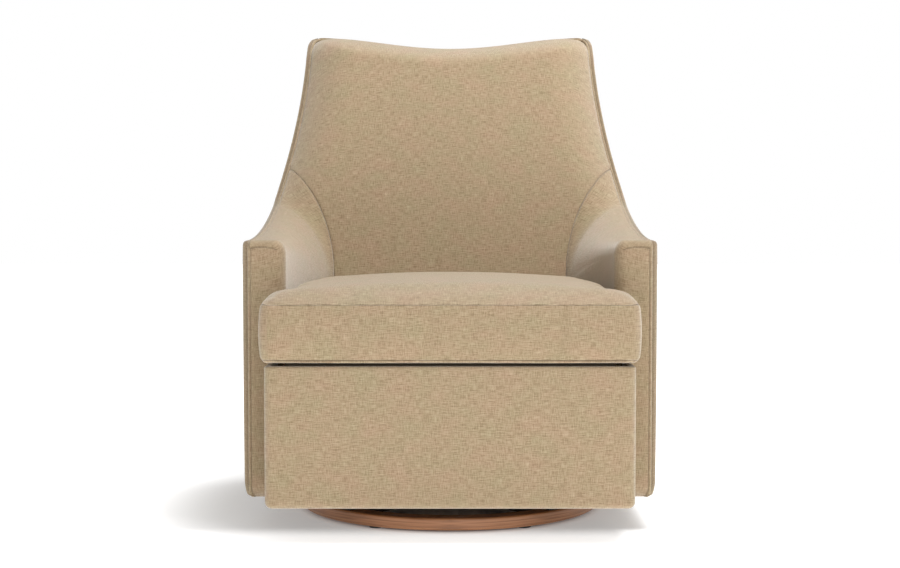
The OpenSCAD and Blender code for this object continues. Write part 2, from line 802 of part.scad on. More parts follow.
// Rails between the back posts, leaning with the rear face
back_rail_h = 60;
top_rail_h = 55;
top_rail_drop = 45;
back_rails = [
    [frame_low_z, back_rail_h],
    [pad_low_z, back_rail_h],
    [back_h - roll_h - top_dip - top_rail_drop, top_rail_h]
];
module back_cross_rails() {
    color(wood) for (r = back_rails) {
        z0 = r[0];
        z1 = r[0] + r[1];
        half = piping_x(z1) - post_room - clear - post_w;
        plate_x(-half, half) polygon([[post_front_y(z0), z0], [post_front_y(z0) + post_d, z0],
            [post_front_y(z1) + post_d, z1], [post_front_y(z1), z1]]);
    }
}

// Suspension: each spring is one wire bent to and fro between the front and the rear seat rail
spring_y0 = -board_y + wire_t;
spring_y1 = rear_rail_y + board_t - wire_t;
slope_step = wire_t / 8;
function zigzag_x(y) = (spring_w - wire_t) / 2 * sin(180 * (y - spring_y0) / spring_pitch);
function spring_side(offset) =
    let (n = round(4 * (spring_y1 - spring_y0) / spring_pitch))
    [for (k = [0:n])
        let (
            y = mix(spring_y0, spring_y1, k / n),
            dx = (zigzag_x(y + slope_step) - zigzag_x(y - slope_step)) / (2 * slope_step),
            l = sqrt(1 + dx * dx)
        ) [zigzag_x(y) + offset / l, y - offset * dx / l]];

function spring_xs() = [for (k = [0:spring_count - 1])
    mix(-1, 1, (k + 0.5) / spring_count) * (side_rail_x - clear)];

module seat_springs() {
    left_side = spring_side(-wire_t / 2);
    right_side = spring_side(wire_t / 2);
    color("#77797c") for (x = spring_xs()) translate([x, 0, spring_z]) linear_extrude(wire_t)
        polygon(concat(left_side, [for (k = [len(right_side) - 1:-1:0]) right_side[k]]));
}

// Clips: a folded strip round each spring's end, screwed to the rail
clip_w = 20;
clip_t = 1.2;
module spring_clips() {
    roof_z = spring_z + wire_t + clip_t / 4;
    color(steel) for (x = spring_xs(), end = [0, 1]) {
        y0 = end == 0 ? -board_y + clear : rear_rail_y + board_t - clear - clip_w;
        back_y0 = end == 0 ? y0 : y0 + clip_w - clip_t;
        translate([x - clip_w / 2, y0, roof_z - clip_t / 4]) cube([clip_w, clip_w, clip_t / 4]);
        translate([x - clip_w / 2, back_y0, frame_top]) cube([clip_w, clip_t, roof_z - frame_top]);
    }
}

module seat_deck() {
    half = nose_in_x - clear;
    rear = face_y(deck_top) - 2 * clear;
    color("#9a8a74") translate([0, 0, deck_z]) linear_extrude(deck_t)
        polygon([[-half, -board_y], [half, -board_y], [half, rear], [-half, rear]]);
}

module back_webbing() {
    z0 = back_rails[1][0] + clear;
    z1 = back_rails[2][0] + back_rails[2][1] - clear;
    reach = piping_x(z1) - post_w - web_w / 2;
    color("#4a4540") for (k = [0:web_count - 1]) {
        x = mix(-reach, reach, (k + 0.5) / web_count);
        plate_x(x - web_w / 2, x + web_w / 2) polygon([
            [web_front_y(z0), z0], [post_front_y(z0) - side_gap, z0],
            [post_front_y(z1) - side_gap, z1], [web_front_y(z1), z1]]);
    }
}

module dust_cover() {
    half = side_rail_x - clear;
    cover_t = 1.2;
    color("#1c1c1e") translate([-half, -front_inner_y + clear, stretcher_z + stretcher_t])
        cube([2 * half, front_inner_y + rear_rail_y - 2 * clear, cover_t]);
}

// Upholstery
edge_shares = [0, 0.012, 0.04, 0.2, 0.5, 0.8, 0.96, 0.988, 1];

module apron() {
    soft = 12;
    half = box_half;
    function at(s, t) =
        let (
            x = mix(-half, half, s),
            z = mix(hem_z, apron_top, t),
            bulge = fall(min(half - abs(x), z - hem_z, apron_top - z), soft)
        ) [x, -apron_y + (apron_t / 2) * (1 - bulge), z];
    near = [for (s = edge_shares) [for (t = edge_shares) at(s, t)]];
    far = [for (row = near) [for (p = row) [p.x, -apron_y + apron_t, p.z]]];
    color(fabric) slab(near, far, true);
}

module nose_sides() {
    soft = 10;
    y0 = -board_y;
    y1 = -arm_front_y - 2 * clear;
    inset = nose_t / 8;
    function at(s, t) =
        let (
            y = mix(y0, y1, s),
            z = mix(hem_z, apron_top, t),
            bulge = fall(min(y1 - y + soft / 2, z - hem_z, apron_top - z), soft)
        ) [box_half - inset * (1 - bulge), y, z];
    near = [for (s = [0, 0.5, 0.9, 1]) [for (t = edge_shares) at(s, t)]];
    far = [for (row = near) [for (p = row) [nose_in_x, p.y, p.z]]];
    color(fabric) both_sides() slab(near, far, true);
}

// Section of an inside arm at its front: from its foot up the inner face, round the soft edge and out to the
// piping, as [share of the way from the inner face to the piping, share of the height]
front_round_x_share = 0.45;
front_round_z_share = 0.13;
front_section = concat(
    [for (s = [0, 0.3, 0.6, 1]) [0, s * (1 - front_round_z_share)]],
    [for (a = [30, 60, 90]) [front_round_x_share * (1 - cos(a)), 1 - front_round_z_share * (1 - sin(a))]],
    [for (s = [0.35, 0.7, 0.9, 1]) [mix(front_round_x_share, 1, s), 1]]);
// Its section at the rear seam: straight up and then one long curve out to the piping
seam_top_z = edge_z(seam_top_y);
seam_bend = 1.45;
seam_turn_share = (seam_z - pad_low_z) / (seam_top_z - pad_low_z);
seam_section = concat(
    [for (s = [0, 0.5, 1]) [0, s * seam_turn_share]],
    [for (a = [11.25:11.25:90]) [1 - pow(max(0, cos(a)), seam_bend), mix(seam_turn_share, 1, sin(a))]]);
seam_out_x = piping_x(seam_top_z) - welt_r - 2 * clear;
function seam_point(k) =
    let (
        x = mix(seam_x, seam_out_x, seam_section[k][0]),
        z = mix(pad_low_z, seam_top_z, seam_section[k][1])
    ) [x, inside_y(x, z), z];

// Point of the inside arm: u runs from the front to the rear seam, k counts along the section. Its outer
// edge lies under the piping in front and beside it towards the rear
nose_in = 2;
function arm_point(u, k) =
    let (
        seam = seam_point(k),
        last = len(front_section) - 1,
        top_y = mix(-arm_pad_y, seam_top_y, u),
        y = top_y - (seam_top_y - seam.y) * pow(u, mix(1, 4, k / last)),
        nose = 1 - fall(u, 0.07),
        morph = pow(u, 2.2),
        share = front_section[k] + (seam_section[k] - front_section[k]) * morph,
        beside = smooth((u - 0.25) / 0.3),
        level = smooth((u - 0.55) / 0.3),
        crown = 0.8 * edge_drop(top_y) * (1 - morph) * pow(sin(180 * min(1, k / (last - 1))), 2),
        z_top = edge_z(top_y) - edge_drop(top_y) * (1 - level) - (facing_drop - edge_room) * nose,
        in_x = mix(arm_in_x, seam_x, pow(u, 1.8)) + nose_in * nose,
        out_x = piping_x(z_top) - clear - (welt_r + clear) * beside
    ) [mix(in_x, out_x, share[0]), y, mix(pad_low_z, z_top, share[1]) + crown * max(0, share[1] * 2 - 1)];

arm_steps = [0, 0.02, 0.05, 0.1, 0.2, 0.32, 0.44, 0.56, 0.67, 0.77, 0.86, 0.93, 0.97, 1];
// Its hidden side goes straight up the arm board and then out over the board's top
turn_index = 6;
module inside_arm(side) {
    last = len(front_section) - 1;
    wall_x = board_in_x - clear;
    near = [for (u = arm_steps) [for (k = [0:last]) arm_point(u, k)]];
    far = [for (row = near) [for (k = [0:last])
        let (
            p = row[k],
            over_board = edge_z(p.y) - arm_pad_top_t - edge_drop(p.y) / 2,
            out = clamp((k - turn_index) / (last - turn_index), 0, 1)
        ) [mix(wall_x, row[last].x, out), p.y, mix(pad_low_z, over_board, min(1, k / turn_index))]]];
    color(fabric) sided(side) slab(near, far);
}

module arm_facing() {
    soft = 14;
    x0 = arm_in_x;
    x1 = arm_half - side_t - welt_r - clear;
    top = arm_h - facing_drop;
    low = hem_z;
    function at(s, t) =
        let (
            x = mix(x0, x1, s),
            z_top = top - arm_round * 0.6 * pow(1 - s, 4) - welt_r * pow(s, 6),
            z = mix(low, z_top, t),
            bulge = fall(min(x - x0, z - low + soft / 2, z_top - z + soft / 3), soft)
        ) [x, -arm_front_y + facing_t / 2 * (1 - bulge), z];
    near = [for (s = [0, 0.04, 0.12, 0.3, 0.6, 0.85, 1]) [for (t = edge_shares) at(s, t)]];
    far = [for (row = near) [for (p = row) [p.x, -arm_pad_y - clear, p.z]]];
    color(fabric) slab(near, far, true);
}

// Outside panel of one side: columns from its foot or the rear face's lean up to the edge line
side_low_z = hem_z;
side_front_y = -arm_front_y + edge_room;
side_steps = [0, 0.01, 0.03, 0.09, 0.18, 0.28, 0.38, 0.48, 0.57, 0.65, 0.71, 0.745, 0.775, 0.8, 0.825, 0.855,
    0.9, 0.95, 1];
side_rows = [0, 0.01, 0.035, 0.3, 0.5, 0.58, 0.64, 0.7, 0.76, 0.84, 0.92, 0.965, 0.985, 1];
piping_bend = 14;
module outside_arm(side) {
    soft = 7;
    function corner_cut(d) = piping_bend * (1 - fall(d, piping_bend));
    function high_z(y) = edge_z(y) - edge_drop(y) - corner_cut(y - side_front_y);
    function at(s, t) =
        let (
            top_y = mix(side_front_y, rear_top_y, s),
            y = mix(mix(side_front_y, rear_low_y, s), top_y, t),
            z = mix(side_low_z, high_z(top_y), t),
            to_edge = min(y - side_front_y, z - side_low_z, rear_y(z) - y + soft / 4,
                (high_z(top_y) - z) / sqrt(1 + pow(edge_slope(top_y), 2))),
            bulge = mix(0.25, 1, fall(max(0, to_edge), soft))
        ) [piping_x(z) + side_t * bulge, y, z];
    near = [for (s = side_steps) [for (t = side_rows) at(s, t)]];
    far = [for (row = near) [for (p = row) [piping_x(p.z), p.y, p.z]]];
    color(fabric) sided(side) slab(near, far, true);
}

// Inside back: rows follow the arms' rear seams, then the piping, and roll over the top
back_across = [-1, -0.97, -0.9, -0.8, -0.68, -0.5, -0.25, 0, 0.25, 0.5, 0.68, 0.8, 0.9, 0.97, 1];
back_up = [0.15, 0.35, 0.55, 0.72, 0.85, 0.92, 0.96, 0.985, 1];
corner_round = 28;
corner_share = 0.6;
module inside_back() {
    seam_count = len(seam_section);
    function upper_x(t) =
        let (z = mix(seam_top_z, back_h, t), r = max(0, (z - back_h + corner_round) / corner_round))
            piping_x(z) - welt_r - 2 * clear - corner_round * corner_share * (1 - sqrt(max(0, 1 - r * r)));
    lower = [for (k = [0:seam_count - 1])
        let (p = seam_point(k), half = min(p.x - clear, piping_x(p.z) - welt_r - 2 * clear))
            [for (s = back_across) [s * half, inside_y(s * half, p.z), p.z]]];
    upper = [for (t = back_up) [for (s = back_across)
        let (x = s * upper_x(t), z = mix(seam_top_z, top_z(x), t)) [x, inside_y(x, z), z]]];
    near = concat(lower, upper);
    far = [for (row = near) [for (p = row)
        [p.x, max(p.y + clear, web_front_y(p.z) - clear), p.z - clear / 10]]];
    color(fabric) slab(near, far);
}

module outside_back() {
    soft = 14;
    function at(s, t) =
        let (
            z0 = hem_z + hem_lift,
            z1 = top_z(mix(-1, 1, s) * top_corner_x) - edge_room,
            z = mix(z0, z1, t),
            half = piping_x(z) - 3 * clear,
            x = mix(-half, half, s),
            bulge = fall(min(half - abs(x) + soft / 4, z - z0, z1 - z), soft)
        ) [x, rear_y(z) - rear_t / 2 * (1 - bulge), z];
    near = [for (s = edge_shares) [for (t = side_rows) at(s, t)]];
    far = [for (row = near) [for (p = row) [p.x, rear_y(p.z) - rear_t, p.z]]];
    color(fabric) slab(near, far);
}

// Piping: up the arm's front edge and then along the edge line to the back's top corner
piping_steps = 44;
module piping(side) {
    front_y = -arm_front_y + welt_r;
    bend = piping_bend;
    rise = [for (k = [0:5]) [arm_half - side_t, front_y, mix(side_low_z, arm_h - bend - welt_r, k / 5)]];
    turn = [for (a = [30, 60])
        [arm_half - side_t, front_y + bend * (1 - cos(a)), arm_h - welt_r - bend * (1 - sin(a))]];
    along = [for (k = [0:piping_steps])
        let (
            y = mix(front_y + bend, band_y + welt_r, pow(k / piping_steps, 0.8)),
            n = [0, -edge_slope(y), 1] / sqrt(1 + pow(edge_slope(y), 2)),
            p = [piping_x(edge_z(y)), y, edge_z(y)] - welt_r * n
        ) p];
    color("#bca88c") sided(side) tube(concat(rise, turn, along), welt_r, [1, 0, 0]);
}

// Seat cushion: a T-shaped boxed cushion with a crown, drawn in along its seams
cushion_low_z = deck_top + clear;
low_seam_z = cushion_low_z + seam_rise;
top_seam_z = low_seam_z + boxing_h;
notch_room = 5;
notch_y = -arm_front_y - notch_room;
side_room = 3;
cushion_across = [-1, -0.97, -0.9, -0.78, -0.6, -0.4, -0.2, 0, 0.2, 0.4, 0.6, 0.78, 0.9, 0.97, 1];
cushion_back = [0, 0.02, 0.06, 0.13, 0.205];
cushion_rear = [0.003, 0.06, 0.14, 0.28, 0.44, 0.6, 0.75, 0.88, 0.96, 1];
boxing_rows = 5;
function cushion_half(y) =
    y < notch_y + clear ? ear_x - boxing_bulge
    : let (u = clamp((y + arm_pad_y) / (face_y(pad_low_z) + arm_pad_y), 0, 1))
        mix(arm_in_x, seam_x, pow(u, 1.8)) - side_room - boxing_bulge;
function cushion_rows(rear) = concat(
    [for (s = cushion_back) mix(-cushion_y + boxing_bulge, notch_y, s / 0.205)],
    [for (s = cushion_rear) mix(notch_y, rear, s)]);
// Crown across: a flat hump and a round shoulder, wide at the ears and narrow between the arms; its side
// seams ride up between the arms towards the rear
hump_share = 0.35;
seam_lift_share = 0.4;
ear_shoulder = 50;
arm_shoulder = 16;
shoulder_len = 60;
lift_len = 300;
function crown(s, t) = pow(1 - pow(abs(s), 3), 0.6) * pow(max(0, 1 - pow(abs(2 * t - 1), 4)), 0.5);
function top_crown(s, t, y, half) =
    let (
        shoulder = mix(ear_shoulder, arm_shoulder, smooth((y - notch_y) / shoulder_len)),
        across = mix(fall(half * (1 - abs(s)), shoulder), 1 - pow(abs(s), 2.2), hump_share),
        along = pow(max(0, 1 - pow(abs(2 * t - 1), 4)), 0.5),
        lift = seam_lift_share * pow(abs(s), 8) * smooth((y - notch_y) / lift_len)
    ) mix(across * along, 1, lift);
function cushion_point(s, row, rows, upper) =
    let (
        y = rows[row],
        half = row < len(cushion_back) ? ear_x - boxing_bulge : cushion_half(y),
        t = (y - rows[0]) / (rows[len(rows) - 1] - rows[0]),
        z = upper ? top_seam_z + crown_h * top_crown(s, mix(0, 0.94, t), y, half)
            : low_seam_z - seam_rise * crown(s, t)
    ) [s * half, y, z];

module seat_cushion() {
    top_rows = cushion_rows(face_y(top_seam_z) - side_room - boxing_bulge);
    low_rows = cushion_rows(face_y(low_seam_z) - side_room - boxing_bulge);
    nu = len(cushion_across);
    nv = len(top_rows);
    n = nu * nv;
    loop = concat(
        [for (i = [0:nu - 1]) i * nv],
        [for (j = [1:nv - 1]) (nu - 1) * nv + j],
        [for (i = [nu - 2:-1:0]) i * nv + nv - 1],
        [for (j = [nv - 2:-1:1]) j]);
    count = len(loop);
    top = [for (s = cushion_across, j = [0:nv - 1]) cushion_point(s, j, top_rows, true)];
    low = [for (s = cushion_across, j = [0:nv - 1]) cushion_point(s, j, low_rows, false)];
    function outward(k) =
        let (d = top[loop[(k + 1) % count]] - top[loop[(k + count - 1) % count]])
            [d.y, -d.x, 0] / norm([d.x, d.y, 0]);
    boxing = [for (r = [1:boxing_rows - 1], k = [0:count - 1])
        mix(top[loop[k]], low[loop[k]], r / boxing_rows)
            + outward(k) * boxing_bulge * sin(180 * r / boxing_rows)];
    function side_index(r, k) = r == 0 ? loop[k % count]
        : r == boxing_rows ? n + loop[k % count]
        : 2 * n + (r - 1) * count + k % count;
    faces = [
        for (i = [0:nu - 2], j = [0:nv - 2])
            let (a = i * nv + j, b = a + nv, c = b + 1, d = a + 1)
                each [[a, c, b], [a, d, c], [n + a, n + b, n + c], [n + a, n + c, n + d]],
        for (r = [0:boxing_rows - 1], k = [0:count - 1])
            let (a = side_index(r, k), b = side_index(r, k + 1))
                let (c = side_index(r + 1, k + 1), d = side_index(r + 1, k))
                    each [[a, b, c], [a, c, d]]
    ];
    color(fabric) polyhedron(concat(top, low, boxing), faces);
}

base_ring();
ring_glides();
base_cross();
cross_screws();
lower_race();
race_bolts();
race_balls();
ball_cage();
king_pin();
king_nut();
upper_race();
swivel_plate();
plate_bolts();
cross_bar(-1);  // front_cross_bar
cross_bar(1);  // rear_cross_bar
hanger_post(-1, -1);  // hanger_post_left_front
hanger_post(1, -1);  // hanger_post_right_front
hanger_post(-1, 1);  // hanger_post_left_rear
hanger_post(1, 1);  // hanger_post_right_rear
upper_pivot_pins();
link(-1, -1);  // front_link_left
link(1, -1);  // front_link_right
link_bushes(-1);  // front_link_bushes
link(-1, 1);  // rear_link_left
link(1, 1);  // rear_link_right
link_bushes(1);  // rear_link_bushes
drop_brackets();
lower_pivot_pins();
seat_rail(-1);  // seat_rail_left
seat_rail(1);  // seat_rail_right
rail_bolts();
stop_brackets();
stop_bumpers();
stretchers();
front_rail();
rear_seat_rail();
side_rails();
corner_blocks();
arm_board(-1);  // arm_board_left
arm_board(1);  // arm_board_right
back_post(-1);  // back_post_left
back_post(1);  // back_post_right
back_cross_rails();
seat_springs();
spring_clips();
seat_deck();
back_webbing();
dust_cover();
apron();
nose_sides();
inside_arm(-1);  // inside_arm_left
inside_arm(1);  // inside_arm_right
outside_arm(-1);  // outside_arm_left
outside_arm(1);  // outside_arm_right
both_sides() arm_facing();  // arm_facings
inside_back();
outside_back();
piping(-1);  // piping_left
piping(1);  // piping_right
seat_cushion();
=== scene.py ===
import json

import bpy
import numpy as np
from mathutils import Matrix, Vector


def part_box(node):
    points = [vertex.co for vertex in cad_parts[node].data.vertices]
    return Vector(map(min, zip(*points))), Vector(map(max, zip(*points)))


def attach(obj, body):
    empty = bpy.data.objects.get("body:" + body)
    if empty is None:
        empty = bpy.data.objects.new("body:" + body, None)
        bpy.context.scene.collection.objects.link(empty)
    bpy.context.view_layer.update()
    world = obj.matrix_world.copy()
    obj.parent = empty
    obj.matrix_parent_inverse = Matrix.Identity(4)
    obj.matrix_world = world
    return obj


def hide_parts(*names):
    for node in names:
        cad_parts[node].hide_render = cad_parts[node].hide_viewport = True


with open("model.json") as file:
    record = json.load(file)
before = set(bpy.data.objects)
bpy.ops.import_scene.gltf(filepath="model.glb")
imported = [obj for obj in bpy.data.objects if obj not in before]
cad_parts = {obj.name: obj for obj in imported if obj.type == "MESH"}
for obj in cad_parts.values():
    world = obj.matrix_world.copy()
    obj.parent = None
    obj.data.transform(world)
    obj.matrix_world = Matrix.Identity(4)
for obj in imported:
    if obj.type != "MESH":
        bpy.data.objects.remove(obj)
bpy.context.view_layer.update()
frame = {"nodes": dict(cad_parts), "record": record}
nodes = frame["nodes"]
join = np.concatenate

# Sizes of the chair, in metres: those of its solids, apart from SIDE_T and the wider bend of the SWELL sizes
ARM_HALF = 0.381          # half of the width over the arms
SIDE_T = 0.0105           # how far the outside panels stand out over the piping's middle
WELT_R = 0.003            # radius of the piping
ARM_H = 0.540             # height of the arm
ARM_FRONT_Y = -0.278      # front face of the arms
ARM_IN_X = 0.304          # inner face of an arm
SEAM_DROP = 0.013         # the seam on the arm's front lies this far below its top
FLAT_Y = -0.250           # the arm's top is level up to here
SWELL_Y = 0.190           # from here the edge turns up into the back
SWELL_SLOPE = 0.2904      # slope of the edge there
SWELL_POWER = 1.5         # the slope grows with this power along the bend
BACK_H = 0.983            # height of the back at its corners
TOP_DIP = 0.025           # the back's top dips this much in its middle
BACK_TAN = np.tan(np.radians(16))
BACK_Y = 0.150            # front of the back at the height FACE_Z
FACE_Z = 0.460
TAPER = 0.062             # each side leans in this much from TAPER_Z to the top
TAPER_Z = 0.600
ROLL_W, ROLL_D, ROLL_H = 0.110, 0.055, 0.045     # the back's rolled rim: width, depth and height
REAR_LOW_Y, REAR_TOP_Y = 0.308, 0.404            # rear face at BOX_LIFT and at the top
REAR_T = 0.012            # thickness of the outside back
BOX_LIFT = 0.062
HEM_Z = 0.063             # lower edge of the cloth
PAD_LOW_Z = 0.3253        # lower edge of the inside arms and inside back
SEAM_X, SEAM_Z, SEAM_TOP_Y = 0.246, 0.456, 0.2645   # arm and back seam: its straight part and its upper end
SEAM_BEND = 1.45
APRON_TOP = 0.3183
APRON_Y = -0.401          # front face of the apron
APRON_T = 0.0125
BOX_HALF = 0.3305         # half width of the seat box
EDGE_GAP = 0.0008         # cloth ends this far inside the piping's middle
EDGE_BEND = 0.014         # bend of the side's outline over the arm's front
CORNER_R = 0.028          # rounding of the back's top corners in the front view


def mix(a, b, t):
    """Straight blend: a at t = 0 and b at t = 1."""
    return a + (b - a) * t


def smooth(t):
    """Smooth step of t: 3 t^2 - 2 t^3 between 0 and 1."""
    t = np.clip(t, 0, 1)
    return t * t * (3 - 2 * t)


def rim(distance, soft):
    """Quarter circle: 0 at an edge and 1 from the depth soft inwards."""
    d = 1 - np.clip(distance / soft, 0, 1)
    return np.sqrt(np.maximum(0, 1 - d * d))


def half_out(z):
    """Half width over the outside panels: above TAPER_Z they lean in by 1 - (1 - g)^1.8, with a soft start g."""
    t = np.clip((z - TAPER_Z) / (BACK_H - TAPER_Z), 0, 1)
    start_share = 1.08 * t * t / (t + 0.08)
    return ARM_HALF - TAPER * (1 - np.maximum(0, 1 - start_share) ** 1.8)


def piping_x(z):
    """Distance of the piping's middle from the chair's middle plane."""
    return half_out(z) - SIDE_T


def face_y(z):
    """Front of the back: a straight line that leans back."""
    return BACK_Y + (z - FACE_Z) * BACK_TAN


def rear_y(z):
    """Rear face: a straight line from the seat box to the top."""
    return mix(REAR_LOW_Y, REAR_TOP_Y, (z - BOX_LIFT) / (BACK_H - BOX_LIFT))


# The upper edge of the sides is one line: level, then with a steady growth of slope, then with a fast one,
# then at the back's rake, and at last a quarter of a sine over the back's top corner
BACK_SLOPE = 1 / BACK_TAN
RISE = SWELL_SLOPE / (SWELL_Y - FLAT_Y)
SWELL_Z = ARM_H + RISE * (SWELL_Y - FLAT_Y) ** 2 / 2
SWELL_LEN = (SWELL_Z - FACE_Z - (SWELL_Y - BACK_Y - ROLL_D) * BACK_SLOPE) / (
    (BACK_SLOPE - SWELL_SLOPE) * SWELL_POWER / (SWELL_POWER + 1))
SWELL_END_Y = SWELL_Y + SWELL_LEN
ROLL_Z = BACK_H - ROLL_H
ROLL_Y = BACK_Y + ROLL_D + (ROLL_Z - FACE_Z) / BACK_SLOPE
BAND_Y = REAR_TOP_Y - REAR_T - 2 * WELT_R - 0.001


def edge_z(y):
    """Height of the edge line at a place y, piece by piece as said above."""
    y = np.asarray(y, float)
    swell = np.maximum(0, y - SWELL_Y)
    bent = (BACK_SLOPE - SWELL_SLOPE) * SWELL_LEN * (swell / SWELL_LEN) ** (SWELL_POWER + 1) / (SWELL_POWER + 1)
    turn = np.clip((y - ROLL_Y) / (BAND_Y - ROLL_Y), 0, 1)
    return np.select(
        [y < FLAT_Y, y < SWELL_Y, y < SWELL_END_Y, y < ROLL_Y],
        [ARM_H + 0 * y, ARM_H + RISE * (y - FLAT_Y) ** 2 / 2,
         SWELL_Z + SWELL_SLOPE * swell + bent,
         FACE_Z + (y - BACK_Y - ROLL_D) * BACK_SLOPE],
        ROLL_Z + ROLL_H * np.sin(turn * np.pi / 2))


def edge_slope(y):
    """Slope of the edge line: the derivative of edge_z."""
    step = 1e-5
    return (edge_z(y + step) - edge_z(y - step)) / (2 * step)


EDGE_YS = np.linspace(FLAT_Y, BAND_Y, 2000)
EDGE_ZS = edge_z(EDGE_YS)


def edge_y(z):
    """Place of the edge line at a height z: the inverse of edge_z."""
    return np.interp(z, EDGE_ZS, EDGE_YS)


def top_z(x):
    """Top of the back: lower in the middle by TOP_DIP, along one wave of a cosine."""
    share = np.clip(np.abs(x) / piping_x(BACK_H), 0, 1)
    return BACK_H - TOP_DIP * (1 + np.cos(np.pi * share)) / 2


def inside_y(x, z):
    """Face of the back: the leaning plane, rolled back towards the sides and the top.

    The roll is t^2.3 at the sides, and more of a quarter ellipse at the top, where t joins both ways.
    """
    side = np.maximum(0, (np.abs(x) - piping_x(z) + ROLL_W) / ROLL_W)
    top = np.maximum(0, (z - top_z(x) + ROLL_H) / ROLL_H)
    t = np.minimum(1, (side ** 4 + top ** 4) ** 0.25)
    roll = np.clip(edge_y(z) - face_y(z), ROLL_D / 2, ROLL_D)
    deep = mix(roll, BAND_Y - 0.004 - face_y(z), smooth(top))
    return face_y(z) + deep * mix(t ** 2.3, 1 - np.sqrt(1 - t * t), mix(0.15, 0.75, smooth(top)))


def spread(low, high, count, ends):
    """Places from low to high, set closer together towards both ends."""
    t = np.linspace(0, 1, count)
    return mix(low, high, mix(t, (1 - np.cos(np.pi * t)) / 2, ends))


def grid_normals(grid):
    """Unit normals of a grid of points: the cross product of its two directions."""
    across = np.cross(np.gradient(grid, axis=0), np.gradient(grid, axis=1))
    return across / np.maximum(1e-12, np.linalg.norm(across, axis=2, keepdims=True))


def lengths(grid, axis):
    """Length measured along one direction of a grid, from 0 at its first points."""
    steps = np.linalg.norm(np.diff(grid, axis=axis), axis=2)
    total = np.cumsum(steps, axis=axis)
    pad = np.zeros_like(np.take(total, [0], axis=axis))
    return join([pad, total], axis=axis)


def nearest(points, curve):
    """Distance of each point from the nearest point of a polyline given by close points."""
    gap = points[..., None, :] - curve
    return np.sqrt((gap ** 2).sum(-1).min(-1))


def travelled(path):
    """Length along a path, from 0 at its first point."""
    return join([[0], np.cumsum(np.linalg.norm(np.diff(path, axis=0), axis=1))])


def grid_quads(at):
    """Quads between the rows and columns of a grid of point numbers."""
    return np.stack([at[:-1, :-1], at[1:, :-1], at[1:, 1:], at[:-1, 1:]], -1).reshape(-1, 4)


def round_quads(rings):
    """Quads between closed rings of point numbers."""
    after = np.roll(rings, -1, 1)
    return np.stack([rings[:-1], rings[1:], after[1:], after[:-1]], -1).reshape(-1, 4)


def outline(grid):
    """The border of a grid, once round."""
    return join([grid[:, 0], grid[-1, 1:], grid[-2::-1, -1], grid[0, -2:0:-1]])


def shown(name, data):
    """New object of the scene."""
    made = bpy.data.objects.new(name, data)
    bpy.context.scene.collection.objects.link(made)
    return made


def places(mesh):
    """Places of a mesh's points."""
    values = np.zeros(len(mesh.vertices) * 3, np.float32)
    mesh.vertices.foreach_get("co", values)
    return values.reshape(-1, 3)


def corner_points(mesh):
    """Number of the point at each face corner of a mesh."""
    values = np.zeros(len(mesh.loops), np.int32)
    mesh.loops.foreach_get("vertex_index", values)
    return values


def map_cloth(mesh, uv):
    """Stores the cloth map: a place in metres for each face corner."""
    mesh.uv_layers.new(name="cloth").data.foreach_set("uv", uv.ravel())


def paint_crease_shade(mesh, painted_shade):
    """Stores for each point how much painted shade its cloth gets in seams, creases and gaps."""
    attribute = mesh.attributes.new("crease_shade", "FLOAT", "POINT")
    attribute.data.foreach_set("value", np.asarray(painted_shade, np.float32).ravel())


def build(name, points, faces, uv=None, crease_shade=None):
    """Makes a smooth mesh of quads from arrays, turns it outwards and gives it its cloth map and its painted
    shade.
    """
    mesh = bpy.data.meshes.new(name)
    a, b, c, d = (points[faces[:, k]] for k in range(4))
    volume = (np.cross(a, b) * c).sum() + (np.cross(a, c) * d).sum()
    if volume < 0:
        faces = faces[:, ::-1]
    mesh.vertices.add(len(points))
    mesh.vertices.foreach_set("co", np.asarray(points, np.float32).ravel())
    mesh.loops.add(faces.size)
    mesh.loops.foreach_set("vertex_index", faces.ravel())
    mesh.polygons.add(len(faces))
    mesh.polygons.foreach_set("loop_start", np.arange(0, faces.size, 4))
    mesh.polygons.foreach_set("loop_total", np.full(len(faces), 4))
    mesh.update(calc_edges=True)
    mesh.validate()
    mesh.polygons.foreach_set("use_smooth", np.ones(len(mesh.polygons), bool))
    if uv is not None:
        map_cloth(mesh, np.asarray(uv, np.float32)[corner_points(mesh)])
    if crease_shade is not None:
        paint_crease_shade(mesh, crease_shade)
    return shown(name, mesh)


def slab_faces(nu, nv):
    """Quads of a closed slab: the near grid, the far grid turned round, and the four rims."""
    n = nu * nv
    at = np.arange(n).reshape(nu, nv)
    near, border = grid_quads(at), outline(at)
    after = np.roll(border, -1)
    rims = np.stack([after, border, border + n, after + n], -1)
    return join([near, near[:, ::-1] + n, rims])


